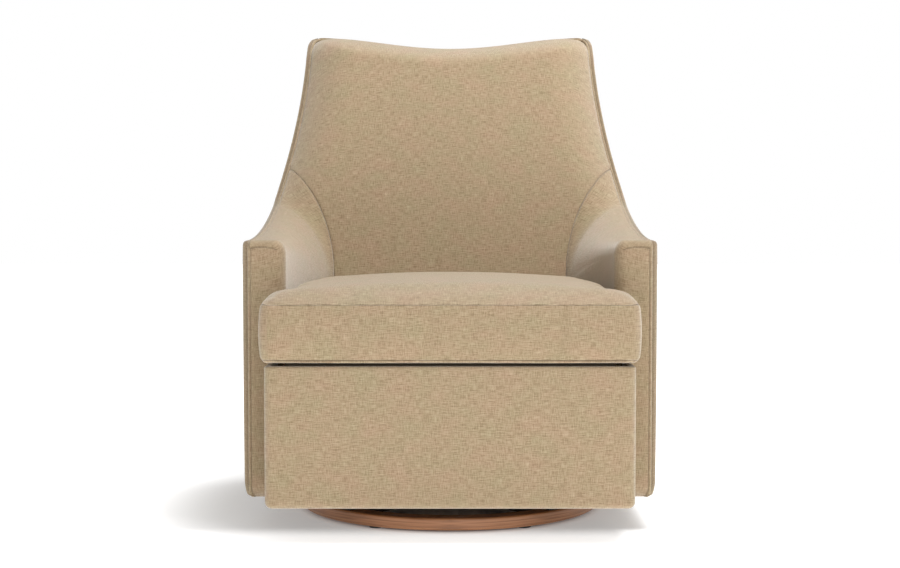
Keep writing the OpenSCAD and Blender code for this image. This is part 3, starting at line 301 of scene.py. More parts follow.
def laid_out(grid, up):
    """Cloth map of a curved grid: steps along the threads, fitted by weighted least squares.

    The weft runs square to the normal and to the direction up, and the warp square to both. Each edge of the
    grid asks for its own share of the two, and conjugate gradients find the map that keeps them best.
    """
    normal = grid_normals(grid)
    warp = up - (up * normal).sum(-1, keepdims=True) * normal
    warp /= np.linalg.norm(warp, axis=2, keepdims=True)
    weft = np.cross(warp, normal)
    steps, shares, weights = [], [], []
    for axis in (0, 1):
        low, high = (grid[:-1], grid[1:]) if axis == 0 else (grid[:, :-1], grid[:, 1:])
        step = high - low
        middle = [(f[:-1] + f[1:]) / 2 if axis == 0 else (f[:, :-1] + f[:, 1:]) / 2 for f in (weft, warp)]
        shares.append(np.stack([(step * m).sum(-1) for m in middle], -1))
        weights.append(1 / np.maximum(0.0008, np.linalg.norm(step, axis=2, keepdims=True)))
    weights = [w / weights[0].mean() for w in weights]

    def spread_back(along, across):
        out = np.zeros(grid.shape[:2] + (2,))
        out[1:] += along
        out[:-1] -= along
        out[:, 1:] += across
        out[:, :-1] -= across
        return out

    def pull(flat):
        return spread_back(weights[0] * np.diff(flat, axis=0), weights[1] * np.diff(flat, axis=1))

    flat = np.stack([lengths(grid, 0), lengths(grid, 1)], -1)
    rest = spread_back(weights[0] * shares[0], weights[1] * shares[1]) - pull(flat)
    ahead, size = rest.copy(), (rest ** 2).sum()
    for _ in range(1500):
        pulled = pull(ahead)
        share = size / max(1e-30, (ahead * pulled).sum())
        flat, rest = flat + share * ahead, rest - share * pulled
        size, before = (rest ** 2).sum(), size
        ahead = rest + size / before * ahead
        if size < 1e-12:
            break
    return flat.reshape(-1, 2)


def slab(name, near, far, crease_shade, up=None):
    """Closed slab between two grids; its cloth map follows the near grid's lines, or the direction up; painted
    shade goes on its near side only.
    """
    nu, nv = near.shape[:2]
    if up is None:
        u, v = lengths(near, 0), lengths(near, 1)
        u, v = u - u[nu // 2:nu // 2 + 1], v - v[:, nv // 3:nv // 3 + 1]
        flat = np.stack([u, v], -1).reshape(-1, 2)
    else:
        flat = laid_out(near, up)
    return build(name, join([near.reshape(-1, 3), far.reshape(-1, 3)]), slab_faces(nu, nv),
                 join([flat, flat]), join([crease_shade.ravel(), 0 * crease_shade.ravel()]))


def tube(name, path, radius, sides):
    """Round cord along a path: rings square to the path, carried along it with no twist, and two flat ends."""
    count = len(path)
    ahead = np.gradient(path, axis=0)
    ahead /= np.linalg.norm(ahead, axis=1, keepdims=True)
    across = np.zeros((count, 3))
    side = np.cross(ahead[0], [0.3, 0.2, 0.9])
    for k in range(count):
        side = side - ahead[k] * (side @ ahead[k])
        side /= np.linalg.norm(side)
        across[k] = side
    up = np.cross(ahead, across)
    angle = np.linspace(0, 2 * np.pi, sides, endpoint=False)
    rings = path[:, None] + radius * (
        np.cos(angle)[None, :, None] * across[:, None] + np.sin(angle)[None, :, None] * up[:, None])
    points = join([rings.reshape(-1, 3), path[[0, -1]]])
    uv = np.stack(np.broadcast_arrays(travelled(path)[:, None], angle[None] * radius), -1).reshape(-1, 2)
    uv = join([uv, uv[[0, -1]]])
    at = np.arange(count * sides).reshape(count, sides)
    k = np.arange(0, sides, 2)
    fan = np.stack([k, k + 1, (k + 2) % sides], -1)
    low = np.insert(at[0][fan], 0, len(points) - 2, axis=1)
    high = np.insert(at[-1][fan[:, ::-1]], 0, len(points) - 1, axis=1)
    return build(name, points, join([round_quads(at), low, high]), uv)


def hand(side):
    """Name of the side that an x of this sign lies on."""
    return "right" if side > 0 else "left"


def placed(piece, slot_name, *replaced):
    """Puts a piece on the seat carriage, names its finish and the solids that it stands for."""
    piece.data.materials.append(finishes[slot_name])
    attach(piece, "seat_carriage")
    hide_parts(*replaced)
    return piece


# Finishes
def put(tree, made, inputs):
    """Fills the inputs of a node, by name or number, with sockets or values."""
    for key, value in inputs.items():
        if hasattr(value, "links"):
            tree.links.new(value, made.inputs[key])
        elif value is not None:
            made.inputs[key].default_value = value


def node(tree, kind, inputs, **settings):
    """New shader node with its settings and its inputs."""
    made = tree.nodes.new("ShaderNode" + kind)
    for key, value in settings.items():
        setattr(made, key, value)
    put(tree, made, inputs)
    return made


def math(tree, operation, a, b=None, clamp=False):
    """Result of a math node: a and b are sockets or numbers."""
    return node(tree, "Math", {0: a, 1: b}, operation=operation, use_clamp=clamp).outputs[0]


def times(tree, a, b):
    """Product of a and b, which are sockets or numbers."""
    return math(tree, "MULTIPLY", a, b)


def weighted(tree, a, share_a, b, share_b):
    """Sum of two sockets, each times its share."""
    return math(tree, "ADD", times(tree, a, share_a), times(tree, b, share_b))


def eased(tree, value, low, high, out_low, out_high):
    """Smooth step of a value from out_low at low to out_high at high."""
    return node(tree, "MapRange", {0: value, 1: low, 2: high, 3: out_low, 4: out_high},
                interpolation_type="SMOOTHSTEP").outputs[0]


def split(tree, vector):
    """The three parts of a vector."""
    return node(tree, "SeparateXYZ", {0: vector}).outputs


def object_place(tree):
    """Place of a point in its object's own axes, in metres."""
    return node(tree, "TexCoord", {}).outputs["Object"]


def stretched_noise(tree, vector, stretch, detail=1.0, roughness=0.5):
    """Noise of a vector that is first scaled differently along its axes."""
    scaled = node(tree, "VectorMath", {0: vector, 1: stretch}, operation="MULTIPLY").outputs[0]
    return node(tree, "TexNoise", {"Vector": scaled, "Scale": 1.0, "Detail": detail,
                                   "Roughness": roughness}).outputs["Fac"]


def ramp(tree, factor, *stops):
    """Colour ramp with (place, colour) stops."""
    made = node(tree, "ValToRGB", {"Fac": factor})
    points = made.color_ramp.elements
    while len(points) < len(stops):
        points.new(0.5)
    for point, (place, colour) in zip(points, stops):
        point.position = place
        point.color = (*colour, 1)
    return made.outputs["Color"]


def blend(tree, factor, a, b, kind="MIX"):
    """Colour mix of a and b, which are sockets or colours."""
    a, b = (value if hasattr(value, "links") else (*value, 1) for value in (a, b))
    return node(tree, "Mix", {"Factor": factor, 6: a, 7: b}, data_type="RGBA", blend_type=kind).outputs[2]


def bump(tree, height, distance, strength=1.0):
    """Normal of a surface that has a height."""
    return node(tree, "Bump", {"Distance": distance, "Strength": strength, "Height": height}).outputs[0]


def group(name, inputs, outputs):
    """Starts a node group; inputs and outputs give each socket's kind by its name."""
    tree = bpy.data.node_groups.new(name, "ShaderNodeTree")
    for in_out, sockets in (("INPUT", inputs), ("OUTPUT", outputs)):
        for key, kind in sockets.items():
            tree.interface.new_socket(name=key, in_out=in_out, socket_type="NodeSocket" + kind)
    return tree, tree.nodes.new("NodeGroupInput").outputs, tree.nodes.new("NodeGroupOutput")


def make_weave():
    """Plain weave: crossing threads as a product of two sines, with thick and thin slubs along both."""
    tree, given, result = group("cloth weave", {"Cloth": "Vector", "Thread": "Float"},
                                {"Slub": "Float", "Tone": "Float", "Height": "Float"})
    cloth = given["Cloth"]
    x, y, _ = split(tree, cloth)
    rate = math(tree, "DIVIDE", np.pi, given["Thread"])
    warp = math(tree, "SINE", times(tree, x, rate))
    weft = math(tree, "SINE", times(tree, y, rate))
    over = times(tree, warp, weft)
    across = stretched_noise(tree, cloth, (62.0, 700.0, 1.0))
    along = stretched_noise(tree, cloth, (660.0, 74.0, 1.0))
    fine = stretched_noise(tree, cloth, (640.0, 640.0, 1.0))
    broad = stretched_noise(tree, cloth, (16.0, 22.0, 1.0), 2.0)
    slub = weighted(tree, weighted(tree, across, 0.55, along, 0.45), 0.8, fine, 0.2)
    height = math(tree, "ADD", times(tree, over, 0.22), slub)
    put(tree, result, {"Slub": slub, "Tone": broad, "Height": height})
    return tree


def make_grain():
    """Wood grain: lines as a sine of a stretched noise, with finer streaks and long pores along the fibres."""
    tree, given, result = group("wood grain", {"Fibre": "Vector"}, {"Grain": "Float", "Pores": "Float"})
    figure = stretched_noise(tree, given["Fibre"], (5.0, 60.0, 60.0), 3.0, 0.55)
    lines = math(tree, "SINE", times(tree, figure, 46.0))
    streaks = stretched_noise(tree, given["Fibre"], (9.0, 420.0, 420.0), 2.0, 0.6)
    pores = stretched_noise(tree, given["Fibre"], (40.0, 1500.0, 1500.0))
    put(tree, result, {"Grain": math(tree, "ADD", times(tree, lines, 0.14), streaks, True),
                       "Pores": pores})
    return tree


def make_wear():
    """Handling marks: broad cloudy patches and fine scratches of noise."""
    tree, given, result = group("metal wear", {"Place": "Vector"}, {"Patches": "Float", "Marks": "Float"})
    put(tree, result, {"Patches": stretched_noise(tree, given["Place"], (18.0, 18.0, 18.0), 3.0, 0.6),
                       "Marks": stretched_noise(tree, given["Place"], (900.0, 900.0, 60.0), 2.0, 0.6)})
    return tree


weave, grain, wear = make_weave(), make_grain(), make_wear()


def start(name):
    """New material, its node tree and its Principled shader."""
    material = bpy.data.materials.new(name)
    material.use_nodes = True
    return material, material.node_tree, material.node_tree.nodes["Principled BSDF"]


def cloth_finish(name, dark, base, light, thread, sheen, relief, crease_shaded=False):
    """Woven cloth: three tones by the slubs, a slow change of tone, painted shade in its creases and seams, with a
    sheen.
    """
    material, tree, shader = start(name)
    uv = node(tree, "UVMap", {}, uv_map="cloth").outputs[0]
    woven = node(tree, "Group", {"Cloth": uv, "Thread": thread}, node_tree=weave).outputs
    colour = ramp(tree, woven["Slub"], (0.34, dark), (0.5, base), (0.68, light))
    tone = ramp(tree, woven["Tone"], (0.3, (0.92, 0.98, 0.92)), (0.7, (1.01, 0.96, 0.96)))
    colour = blend(tree, 1.0, colour, tone, "MULTIPLY")
    height = woven["Height"]
    if crease_shaded:
        # Painted shade: a point attribute blends the colour towards a dark tone in seams, creases and gaps, and
        # sinks the bump there.
        shade_mark = node(tree, "Attribute", {}, attribute_name="crease_shade").outputs["Fac"]
        colour = blend(tree, shade_mark, colour, [0.40 * c for c in dark])
        height = math(tree, "SUBTRACT", height, times(tree, shade_mark, 1.5))
    put(tree, shader, {"Base Color": colour, "Roughness": 0.85, "Specular IOR Level": 0.15,
                       "Sheen Weight": sheen, "Sheen Roughness": 0.5, "Sheen Tint": (1.0, 0.97, 0.93, 1),
                       "Normal": bump(tree, height, relief)})
    return material


def wood_finish(name, dark, base, light, roughness, coat=0.0, round_about=False):
    """Wood with its fibres along X, or round the Z axis for a bent ring."""
    material, tree, shader = start(name)
    place = object_place(tree)
    if round_about:
        x, y, z = split(tree, place)
        angle = math(tree, "ABSOLUTE", math(tree, "ARCTAN2", x, y))
        square = math(tree, "ADD", math(tree, "POWER", x, 2.0), math(tree, "POWER", y, 2.0))
        place = node(tree, "CombineXYZ", {0: times(tree, angle, 0.14),
                                          1: math(tree, "SQRT", square), 2: z}).outputs[0]
    sawn = node(tree, "Group", {"Fibre": place}, node_tree=grain).outputs
    colour = ramp(tree, sawn["Grain"], (0.25, dark), (0.5, base), (0.75, light))
    colour = blend(tree, times(tree, sawn["Pores"], 0.25), colour, dark)
    put(tree, shader, {"Base Color": colour, "Roughness": roughness, "Coat Weight": coat,
                       "Coat Roughness": 0.25, "Normal": bump(tree, sawn["Pores"], 0.0002, 0.5)})
    return material


def worn_finish(name, base, second, roughness, metallic, relief=0.0001):
    """Metal, plastic or rubber with cloudy patches and fine marks."""
    material, tree, shader = start(name)
    worn = node(tree, "Group", {"Place": object_place(tree)}, node_tree=wear).outputs
    rough = math(tree, "ADD", times(tree, worn["Marks"], 0.2), roughness - 0.1, True)
    put(tree, shader, {"Base Color": ramp(tree, worn["Patches"], (0.35, base), (0.7, second)),
                       "Roughness": rough, "Metallic": metallic,
                       "Normal": bump(tree, worn["Marks"], relief, 0.6)})
    return material


# Cloth: dark, middle and light tone, width of a thread, sheen, relief, and whether it has painted shade in creases
# and seams.
# Wood: the same tones, roughness, coat, and whether it is bent round Z.
# The rest: two tones, roughness, share of metal, and relief.
finishes = {}
for kind, looks in (
    (cloth_finish, {
        "linen": ((0.225, 0.156, 0.090), (0.335, 0.247, 0.154), (0.455, 0.358, 0.243), 0.0011, 0.5, 0.0005, True),
        "piping_linen": ((0.230, 0.160, 0.096), (0.335, 0.248, 0.158), (0.440, 0.345, 0.235), 0.0011, 0.5, 0.0004),
        "deck_cloth": ((0.26, 0.21, 0.15), (0.34, 0.28, 0.20), (0.40, 0.34, 0.25), 0.0008, 0.0, 0.0002, True),
        "dust_cloth": ((0.008, 0.008, 0.009), (0.013, 0.013, 0.014), (0.022, 0.022, 0.023), 0.0006, 0.05, 0.0002),
        "webbing": ((0.03, 0.027, 0.023), (0.055, 0.048, 0.042), (0.10, 0.09, 0.08), 0.0020, 0.1, 0.0006)}),
    (wood_finish, {
        "walnut": ((0.253, 0.106, 0.041), (0.405, 0.172, 0.071), (0.488, 0.227, 0.101), 0.42, 0.25, True),
        "frame_wood": ((0.42, 0.27, 0.14), (0.58, 0.41, 0.24), (0.66, 0.50, 0.32), 0.7)}),
    (worn_finish, {
        "black_steel": ((0.010, 0.010, 0.011), (0.018, 0.018, 0.019), 0.5, 0.0, 0.0003),
        "zinc_steel": ((0.50, 0.51, 0.53), (0.60, 0.60, 0.58), 0.35, 1.0),
        "ball_steel": ((0.66, 0.67, 0.68), (0.60, 0.61, 0.62), 0.15, 1.0, 0.00002),
        "brass_cage": ((0.60, 0.44, 0.19), (0.50, 0.35, 0.14), 0.35, 1.0),
        "bush_plastic": ((0.62, 0.59, 0.52), (0.68, 0.66, 0.59), 0.5, 0.0, 0.00005),
        "glide_plastic": ((0.012, 0.012, 0.012), (0.02, 0.02, 0.02), 0.45, 0.0),
        "stop_rubber": ((0.011, 0.011, 0.011), (0.02, 0.02, 0.02), 0.8, 0.0, 0.0002)}),
):
    for name, values in looks.items():
        finishes[name] = kind(name, *values)
for part in frame["record"]["subparts"]:
    solid = nodes[part["node"]]
    for place in solid.material_slots:
        place.material = finishes[part["material_slot"]]


# Upholstery
SEAM_TOP_Z = float(edge_z(SEAM_TOP_Y))
SEAM_OUT_X = piping_x(SEAM_TOP_Z) - EDGE_GAP


def seam_shares(count):
    """Arm and back seam above its straight part: out by 1 - cos(a)^SEAM_BEND while it rises by sin(a)."""
    a = np.linspace(0, np.pi / 2, count)
    return 1 - np.maximum(0, np.cos(a)) ** SEAM_BEND, np.sin(a)


def corner_cut(z):
    """How far the back's outline draws in at its rounded top corners: a flattened quarter circle."""
    r = np.clip((z - BACK_H + CORNER_R) / CORNER_R, 0, 1)
    return 0.6 * CORNER_R * (1 - np.sqrt(1 - r * r))


out_share, up_share = seam_shares(60)
seam_line = join([
    np.stack([np.full(30, SEAM_X), np.linspace(PAD_LOW_Z, SEAM_Z, 30)], -1),
    np.stack([mix(SEAM_X, SEAM_OUT_X, out_share), mix(SEAM_Z, SEAM_TOP_Z, up_share)], -1)])
seam_3d = np.stack([seam_line[:, 0], inside_y(seam_line[:, 0], seam_line[:, 1]), seam_line[:, 1]], -1)
seam_steps = np.linspace(0, 1, 400)
seam_fine = np.stack([np.interp(seam_steps * (len(seam_3d) - 1), np.arange(len(seam_3d)), seam_3d[:, k])
                      for k in range(3)], -1)


def streak(gap, width):
    """Bell curve across a line: 1 on it and next to nothing a few widths away."""
    return np.exp(-(gap / width) ** 2)


def seam_shade_lines(distance, height, second=0.006):
    """Painted shade: dark lines in a seam's crease and, fading out upwards, beside it along the stitching."""
    fade = 1 - smooth((height - 0.52) / 0.12)
    return 0.32 * streak(distance, 0.0011) + 0.3 * fade * streak(distance - second, 0.0011)


def drawn_in(gap):
    """How far cloth is drawn in beside a seam: 3 mm at it, a quarter circle of 9 mm radius wide."""
    return 0.003 * (1 - rim(gap, 0.009))


def rolled_in(gap):
    """How far cloth rolls in beside the piping: 2.2 mm at it, a quarter circle of 8 mm radius wide."""
    return 0.0022 * (1 - rim(gap, 0.008))


def make_inside_back():
    """Inside back: rows follow the seam, then the piping, and roll over the top; drawn in along the seam."""
    straight = np.linspace(PAD_LOW_Z, SEAM_Z, 16)[:-1]
    out, up = seam_shares(26)
    lower_z = join([straight, mix(SEAM_Z, SEAM_TOP_Z, up)])
    lower_half = join([0 * straight + SEAM_X, mix(SEAM_X, SEAM_OUT_X, out)]) - 0.00015
    t = 1 - (1 - np.linspace(0, 1, 46)[1:]) ** 1.6
    upper_z = mix(SEAM_TOP_Z, BACK_H, t)
    upper_half = piping_x(upper_z) - EDGE_GAP - corner_cut(upper_z)
    s = spread(-1, 1, 121, 0.85)[:, None]
    half = join([lower_half, upper_half])[None]
    x = s * half
    z = join([np.broadcast_to(lower_z, (len(s), len(lower_z))),
              mix(SEAM_TOP_Z, top_z(x[:, len(lower_z):]), t[None])], 1)
    y = inside_y(x, z)
    flat = np.stack([np.abs(x), z], -1)
    gap = nearest(flat, seam_line)
    below = z < SEAM_TOP_Z + 0.02
    y = y + np.where(below, drawn_in(gap), 0)
    y = y + np.where(below, 0, rolled_in(half - np.abs(x)))
    y = y + 0.0022 * np.sin(x * 9.0 + 0.6) * np.sin(z * 7.0)
    # Painted shade: dark lines in the seam's crease below, and beside the piping above.
    painted_shade = np.where(below, seam_shade_lines(gap, z, 0.5), 0)
    painted_shade = np.maximum(painted_shade, np.where(below, 0, 0.5 * streak(half - np.abs(x), 0.0022)))
    near = np.stack([x, y, z], -1)
    far = near.copy()
    far[..., 1] = np.maximum(y + 0.003, rear_y(z) - 0.0512)
    return slab("inside_back_panel", near, far, painted_shade)


# Rows of an inside arm: up the wall, round the soft edge and out to the piping
wall_rows = join([np.linspace(0, 0.93, 20), [0.95, 0.965, 0.978, 0.986, 0.992, 0.996, 1.0]])
turn_rows = np.linspace(0, np.pi / 2, 15)[1:]
flat_rows = np.linspace(0, 1, 20)[1:]
ROUND_X, ROUND_Z = 0.28, 0.13
front_x = join([0 * wall_rows, ROUND_X * (1 - np.cos(turn_rows)), mix(ROUND_X, 1, flat_rows)])
front_z = join([wall_rows * (1 - ROUND_Z), 1 - ROUND_Z * (1 - np.sin(turn_rows)), 1 + 0 * flat_rows])
row_count = len(front_x)
seam_turn = (SEAM_Z - PAD_LOW_Z) / (SEAM_TOP_Z - PAD_LOW_Z)
out_share, up_share = seam_shares(row_count - len(wall_rows) + 1)
rear_x = join([0 * wall_rows, out_share[1:]])
rear_z = join([wall_rows * seam_turn, mix(seam_turn, 1, up_share[1:])])
FRONT_COLUMNS = 18        # columns over the arm's front
CORNER_PLAN_R = 0.022     # rounding of the arm's front inner corner, seen from above
TURN_START_Y, TOP_START_Y = -0.235, -0.200     # the top's outer edge where that corner starts and ends


def outer_gap(points):
    """Distance of points from the plane of the piping, measured across the chair."""
    return np.maximum(0, piping_x(points[..., 2]) - points[..., 0])


def make_inside_arm(side):
    """Arm front, inner corner, inner face and top in one cloth: columns run round the corner and back."""
    last = row_count - 1
    k = np.arange(row_count)
    on_top = np.clip((k - len(wall_rows) - len(turn_rows) + 1) / len(flat_rows), 0, 1)
    outer = piping_x(ARM_H) - EDGE_GAP
    w = np.linspace(0, 1, FRONT_COLUMNS)
    c = np.linspace(0, 1, 16)[1:]
    centre = np.array([ARM_IN_X + CORNER_PLAN_R, ARM_FRONT_Y + CORNER_PLAN_R])
    angle = join([np.full(FRONT_COLUMNS, np.pi / 2), (1 - c) * np.pi / 2])
    inward = np.stack([np.cos(angle), np.sin(angle)], -1)
    foot = join([
        np.stack([mix(outer, centre[0], w), np.full(FRONT_COLUMNS, ARM_FRONT_Y)], -1),
        centre - CORNER_PLAN_R * inward[FRONT_COLUMNS:]])
    bend = join([0 * w, smooth(c)])
    round_x = mix(SEAM_DROP, ROUND_X * (outer - ARM_IN_X), bend)[:, None]
    round_z = mix(SEAM_DROP, ROUND_Z * (ARM_H - PAD_LOW_Z), bend)[:, None]
    low = join([HEM_Z + 0 * w, mix(HEM_Z, PAD_LOW_Z, smooth(1.5 * c))])[:, None]
    edge = join([mix(ARM_FRONT_Y + SEAM_DROP + 0.003, TURN_START_Y, w), mix(TURN_START_Y, TOP_START_Y, c)])
    wall_z = mix(low, ARM_H - round_z, wall_rows[None])
    wall = np.broadcast_to(foot[:, None], wall_z.shape + (2,))
    turn = foot[:, None] + (round_x * (1 - np.cos(turn_rows)))[..., None] * inward[:, None]
    turn_z = ARM_H - round_z * (1 - np.sin(turn_rows))
    start = (foot + round_x * inward)[:, None]
    end = np.stack([np.full(len(edge), outer), edge], -1)[:, None]
    top = mix(start, end, flat_rows[None, :, None])
    top_height = edge_z(top[..., 1]) - 0.001 * flat_rows[None]
    front = join([
        join([wall, turn, top], 1),
        join([wall_z, turn_z, top_height], 1)[..., None]], -1)
    on_front = join([1 + 0 * w, 1 - smooth(c / 0.35)])[:, None]
    arch = join([0.0026 * (2 * w - 1) ** 2, 0.0026 + 0.012 * c])[:, None]
    drop = front[..., 2] - (ARM_H - SEAM_DROP - arch)
    front[..., 1] += on_front * 0.0012 * streak(drop, 0.0016)
    front[..., 1] += on_front * 0.004 * (1 - rim(outer - front[..., 0], 0.009)) * (drop < 0)
    front[..., 1] += 0.006 * (1 - rim(front[..., 2] - HEM_Z, 0.014)) * (front[..., 1] < ARM_FRONT_Y + 0.01)
    # Painted shade: a dark line in the crease of the seam across the arm's front.
    front_seam_shade = 0.7 * on_front * streak(drop, 0.0010)
    u = spread(0, 1, 96, 0.55)[1:, None]
    seam_xs = mix(SEAM_X, SEAM_OUT_X, rear_x)
    seam_zs = mix(PAD_LOW_Z, SEAM_TOP_Z, rear_z)
    seam_ys = inside_y(seam_xs, seam_zs)
    start_y = mix(ARM_FRONT_Y + CORNER_PLAN_R, TOP_START_Y, on_top)
    line_y = mix(start_y, SEAM_TOP_Y, u)
    y = line_y - (SEAM_TOP_Y - seam_ys) * u ** mix(1, 4, k / last)
    morph = u ** 1.5
    share_x = mix(front_x, rear_x, morph)
    share_z = mix(front_z, rear_z, morph)
    level = smooth((u - 0.55) / 0.3)
    high = edge_z(line_y) - 0.001 * (1 - level) * on_top
    x = mix(mix(ARM_IN_X, SEAM_X, u ** 1.8), piping_x(high) - EDGE_GAP, share_x)
    z = mix(PAD_LOW_Z, high, share_z)
    back = np.stack(np.broadcast_arrays(x, y, z), -1)
    crown = 0.004 * np.sin(np.pi * on_top) * (1 - 0.5 * morph)
    gap = nearest(back, seam_fine)
    back = back - grid_normals(back) * (crown * smooth(u / 0.2) * (1 - u ** 6))[..., None]
    back[..., 1] += drawn_in(gap)
    near = join([front, back])
    # Painted shade: dark lines in the arm and back seam, and beside the piping on the top.
    painted_shade = join([front_seam_shade, seam_shade_lines(gap, back[..., 2])])
    outward = -grid_normals(near)
    painted_shade = np.maximum(painted_shade, np.where(on_top > 0, 0.5 * streak(outer_gap(near) - EDGE_GAP, 0.0022), 0))
    beside = np.where(on_top > 0, rolled_in(outer_gap(near)), 0)
    near = near - beside[..., None] * outward
    far = near - 0.006 * outward
    near[..., 0] *= side
    far[..., 0] *= side
    upwards = np.zeros_like(near)
    upwards[..., 0], upwards[..., 2] = side * np.abs(outward[..., 2]), 1
    return slab("inside_arm_cover_" + hand(side), near, far, painted_shade, upwards)


def make_outside_arm(side):
    """Outside panel: columns fan from the foot to the edge line; its rim is a quarter circle."""
    s = join([np.linspace(0, 0.06, 10)[:-1], np.linspace(0.06, 0.68, 40)[:-1],
              np.linspace(0.68, 0.9, 60)[:-1], np.linspace(0.9, 1, 16)])[:, None]
    t = spread(0, 1, 70, 0.8)[None]
    front = ARM_FRONT_Y + 0.0035
    top_y = mix(front, REAR_TOP_Y, s)
    y = mix(mix(front, REAR_LOW_Y, s), top_y, t)
    slant = np.sqrt(1 + edge_slope(top_y) ** 2)
    cut = EDGE_BEND * (1 - rim(top_y - front, EDGE_BEND))
    high = edge_z(np.minimum(top_y, BAND_Y)) - 0.0006 * slant - cut
    z = mix(HEM_Z, high, t)
    to_edge = np.minimum.reduce([y - front, z - HEM_Z, rear_y(z) - y + 0.002, (high - z) / slant])
    bulge = mix(0.34, 1, rim(np.maximum(0, to_edge), 0.006))
    low_turn = 0.009 * (1 - rim(z - HEM_Z, 0.032))
    swell = 0.0022 * rim(z - HEM_Z, 0.22) * (1 - smooth((z - 0.5) / 0.12))
    x = piping_x(z) - low_turn - corner_cut(z) + (SIDE_T + swell) * bulge
    near = np.stack([x, y, z], -1)
    far = near.copy()
    beside = 0.0034 * (1 - smooth((high - z) / (slant * 0.009)))
    far[..., 0] = piping_x(z) - corner_cut(z) - 0.0005 - low_turn + beside
    near[..., 0] *= side
    far[..., 0] *= side
    # Painted shade: a dark line beside the piping along the front and top rims.
    painted_shade = 0.5 * streak(np.minimum(y - front, (high - z) / slant), 0.0024)
    return slab("outside_arm_panel_" + hand(side), near, far, painted_shade)


def make_outside_back():
    """Outside back: a flat panel with its rim rounded, a little cushioned in the middle."""
    s = spread(-1, 1, 80, 0.8)[:, None]
    t = spread(0, 1, 80, 0.8)[None]
    top = top_z(s * piping_x(BACK_H)) - 0.0045
    z = mix(HEM_Z + 0.001, top, t)
    half = piping_x(z) - 0.0015 - corner_cut(z)
    x = s * half
    bulge = rim(np.minimum(half - np.abs(x), np.minimum(z - HEM_Z, top - z)), 0.012)
    y = rear_y(z) - REAR_T * 0.45 * (1 - bulge)
    near = np.stack([x, y, z], -1)
    far = near.copy()
    far[..., 1] = rear_y(z) - REAR_T
    return slab("outside_back_panel", near, far, 0 * x)


def make_apron():
    """Apron: one cloth from arm to arm round the seat box's two front corners, hemmed above and below."""
    r = 0.014
    low, top = HEM_Z, APRON_TOP
    side_y = np.linspace(ARM_FRONT_Y - 0.001, APRON_Y + r, 18)[:-1]
    a = np.linspace(0, np.pi / 2, 10)
    front_x = np.linspace(BOX_HALF - r, 0, 50)[1:]
    plan = join([
        np.stack([np.full(len(side_y), BOX_HALF), side_y], -1),
        np.stack([BOX_HALF - r + r * np.cos(a), APRON_Y + r - r * np.sin(a)], -1),
        np.stack([front_x, np.full(len(front_x), APRON_Y)], -1)])
    facing = join([
        np.tile([1.0, 0.0], (len(side_y), 1)),
        np.stack([np.cos(a), -np.sin(a)], -1),
        np.tile([0.0, -1.0], (len(front_x), 1))])
    plan = join([plan, plan[-2::-1] * [-1, 1]])
    facing = join([facing, facing[-2::-1] * [-1, 1]])
    a = np.linspace(0, np.pi / 2, 9)
    low_r, top_r = 0.013, 0.0045
    inset = join([low_r * (1 - np.sin(a)), np.zeros(30), top_r * (1 - np.cos(a))])
    z = join([low + low_r * (1 - np.cos(a)), np.linspace(low + low_r, top - top_r, 32)[1:-1],
              top - top_r * (1 - np.sin(a))])
    middle = np.sin(np.pi * (z - low) / (top - low))
    along = np.abs(plan[:, 0]) / BOX_HALF
    puff = 0.0018 * middle[None] * (1 - along[:, None] ** 6)
    out = facing[:, None] * (puff - inset[None])[..., None]
    near = join([plan[:, None] + out, np.broadcast_to(z[None, :, None], (len(plan), len(z), 1))], -1)
    back_in = plan[:, None] - facing[:, None] * APRON_T
    far = join([np.broadcast_to(back_in, (len(plan), len(z), 2)), near[..., 2:]], -1)
    return slab("apron_cover", near, far, 0 * near[..., 0])


def make_piping(side):
    """Piping of one side: up the arm's front, along the edge line, round the top corner to the middle."""
    x0, front = piping_x(ARM_H), ARM_FRONT_Y + WELT_R
    foot = np.array([[x0 - 0.004, front + 0.016, HEM_Z - 0.0005], [x0 - 0.0015, front + 0.006, HEM_Z + 0.001],
                     [x0, front + 0.001, HEM_Z + 0.007], [x0, front, HEM_Z + 0.016]])
    rise_z = np.linspace(HEM_Z + 0.03, ARM_H - EDGE_BEND - WELT_R, 60)
    rise = np.stack([x0 + 0 * rise_z, front + 0 * rise_z, rise_z], -1)
    a = np.linspace(0, np.pi / 2, 8)[1:]
    turn = np.stack([x0 + 0 * a, front + EDGE_BEND * (1 - np.cos(a)),
                     ARM_H - WELT_R - EDGE_BEND * (1 - np.sin(a))], -1)
    y = np.linspace(front + EDGE_BEND, BAND_Y + WELT_R, 400)[1:]
    slope = edge_slope(y)
    slant = np.sqrt(1 + slope ** 2)
    z = edge_z(y)
    keep = z < BACK_H - 0.004
    x = piping_x(z) - corner_cut(z)
    along = np.stack([x, y + WELT_R * slope / slant, z - WELT_R / slant], -1)[keep]
    across_x = np.linspace(along[-1, 0] - 0.012, 0, 90)
    across = np.stack([across_x, BAND_Y + WELT_R + 0 * across_x, top_z(across_x) - WELT_R], -1)
    path = join([foot, rise, turn, along, across])
    dist = travelled(path)
    even = np.linspace(0, dist[-1], 520)
    path = np.stack([np.interp(even, dist, path[:, k]) for k in range(3)], -1)
    for _ in range(6):
        path[1:-1] = (path[:-2] + 2 * path[1:-1] + path[2:]) / 4
    path[:, 0] *= side
    return tube("piping_cord_" + hand(side), path, WELT_R, 12)


# Seat cushion
CUSHION_Y = 0.400         # how far the cushion comes forward
EAR_X, EAR_R = 0.335, 0.014        # half width over its ears and rounding of their corners
NOTCH_Y = -0.293          # behind here it narrows to pass between the arms
CLOSE_YS = (-0.294, -0.280)        # and its rows lie close together between these two
LOW_SEAM_Z, TOP_SEAM_Z, CROWN_H = 0.3300, 0.4273, 0.040
BOXING_ROWS = 20


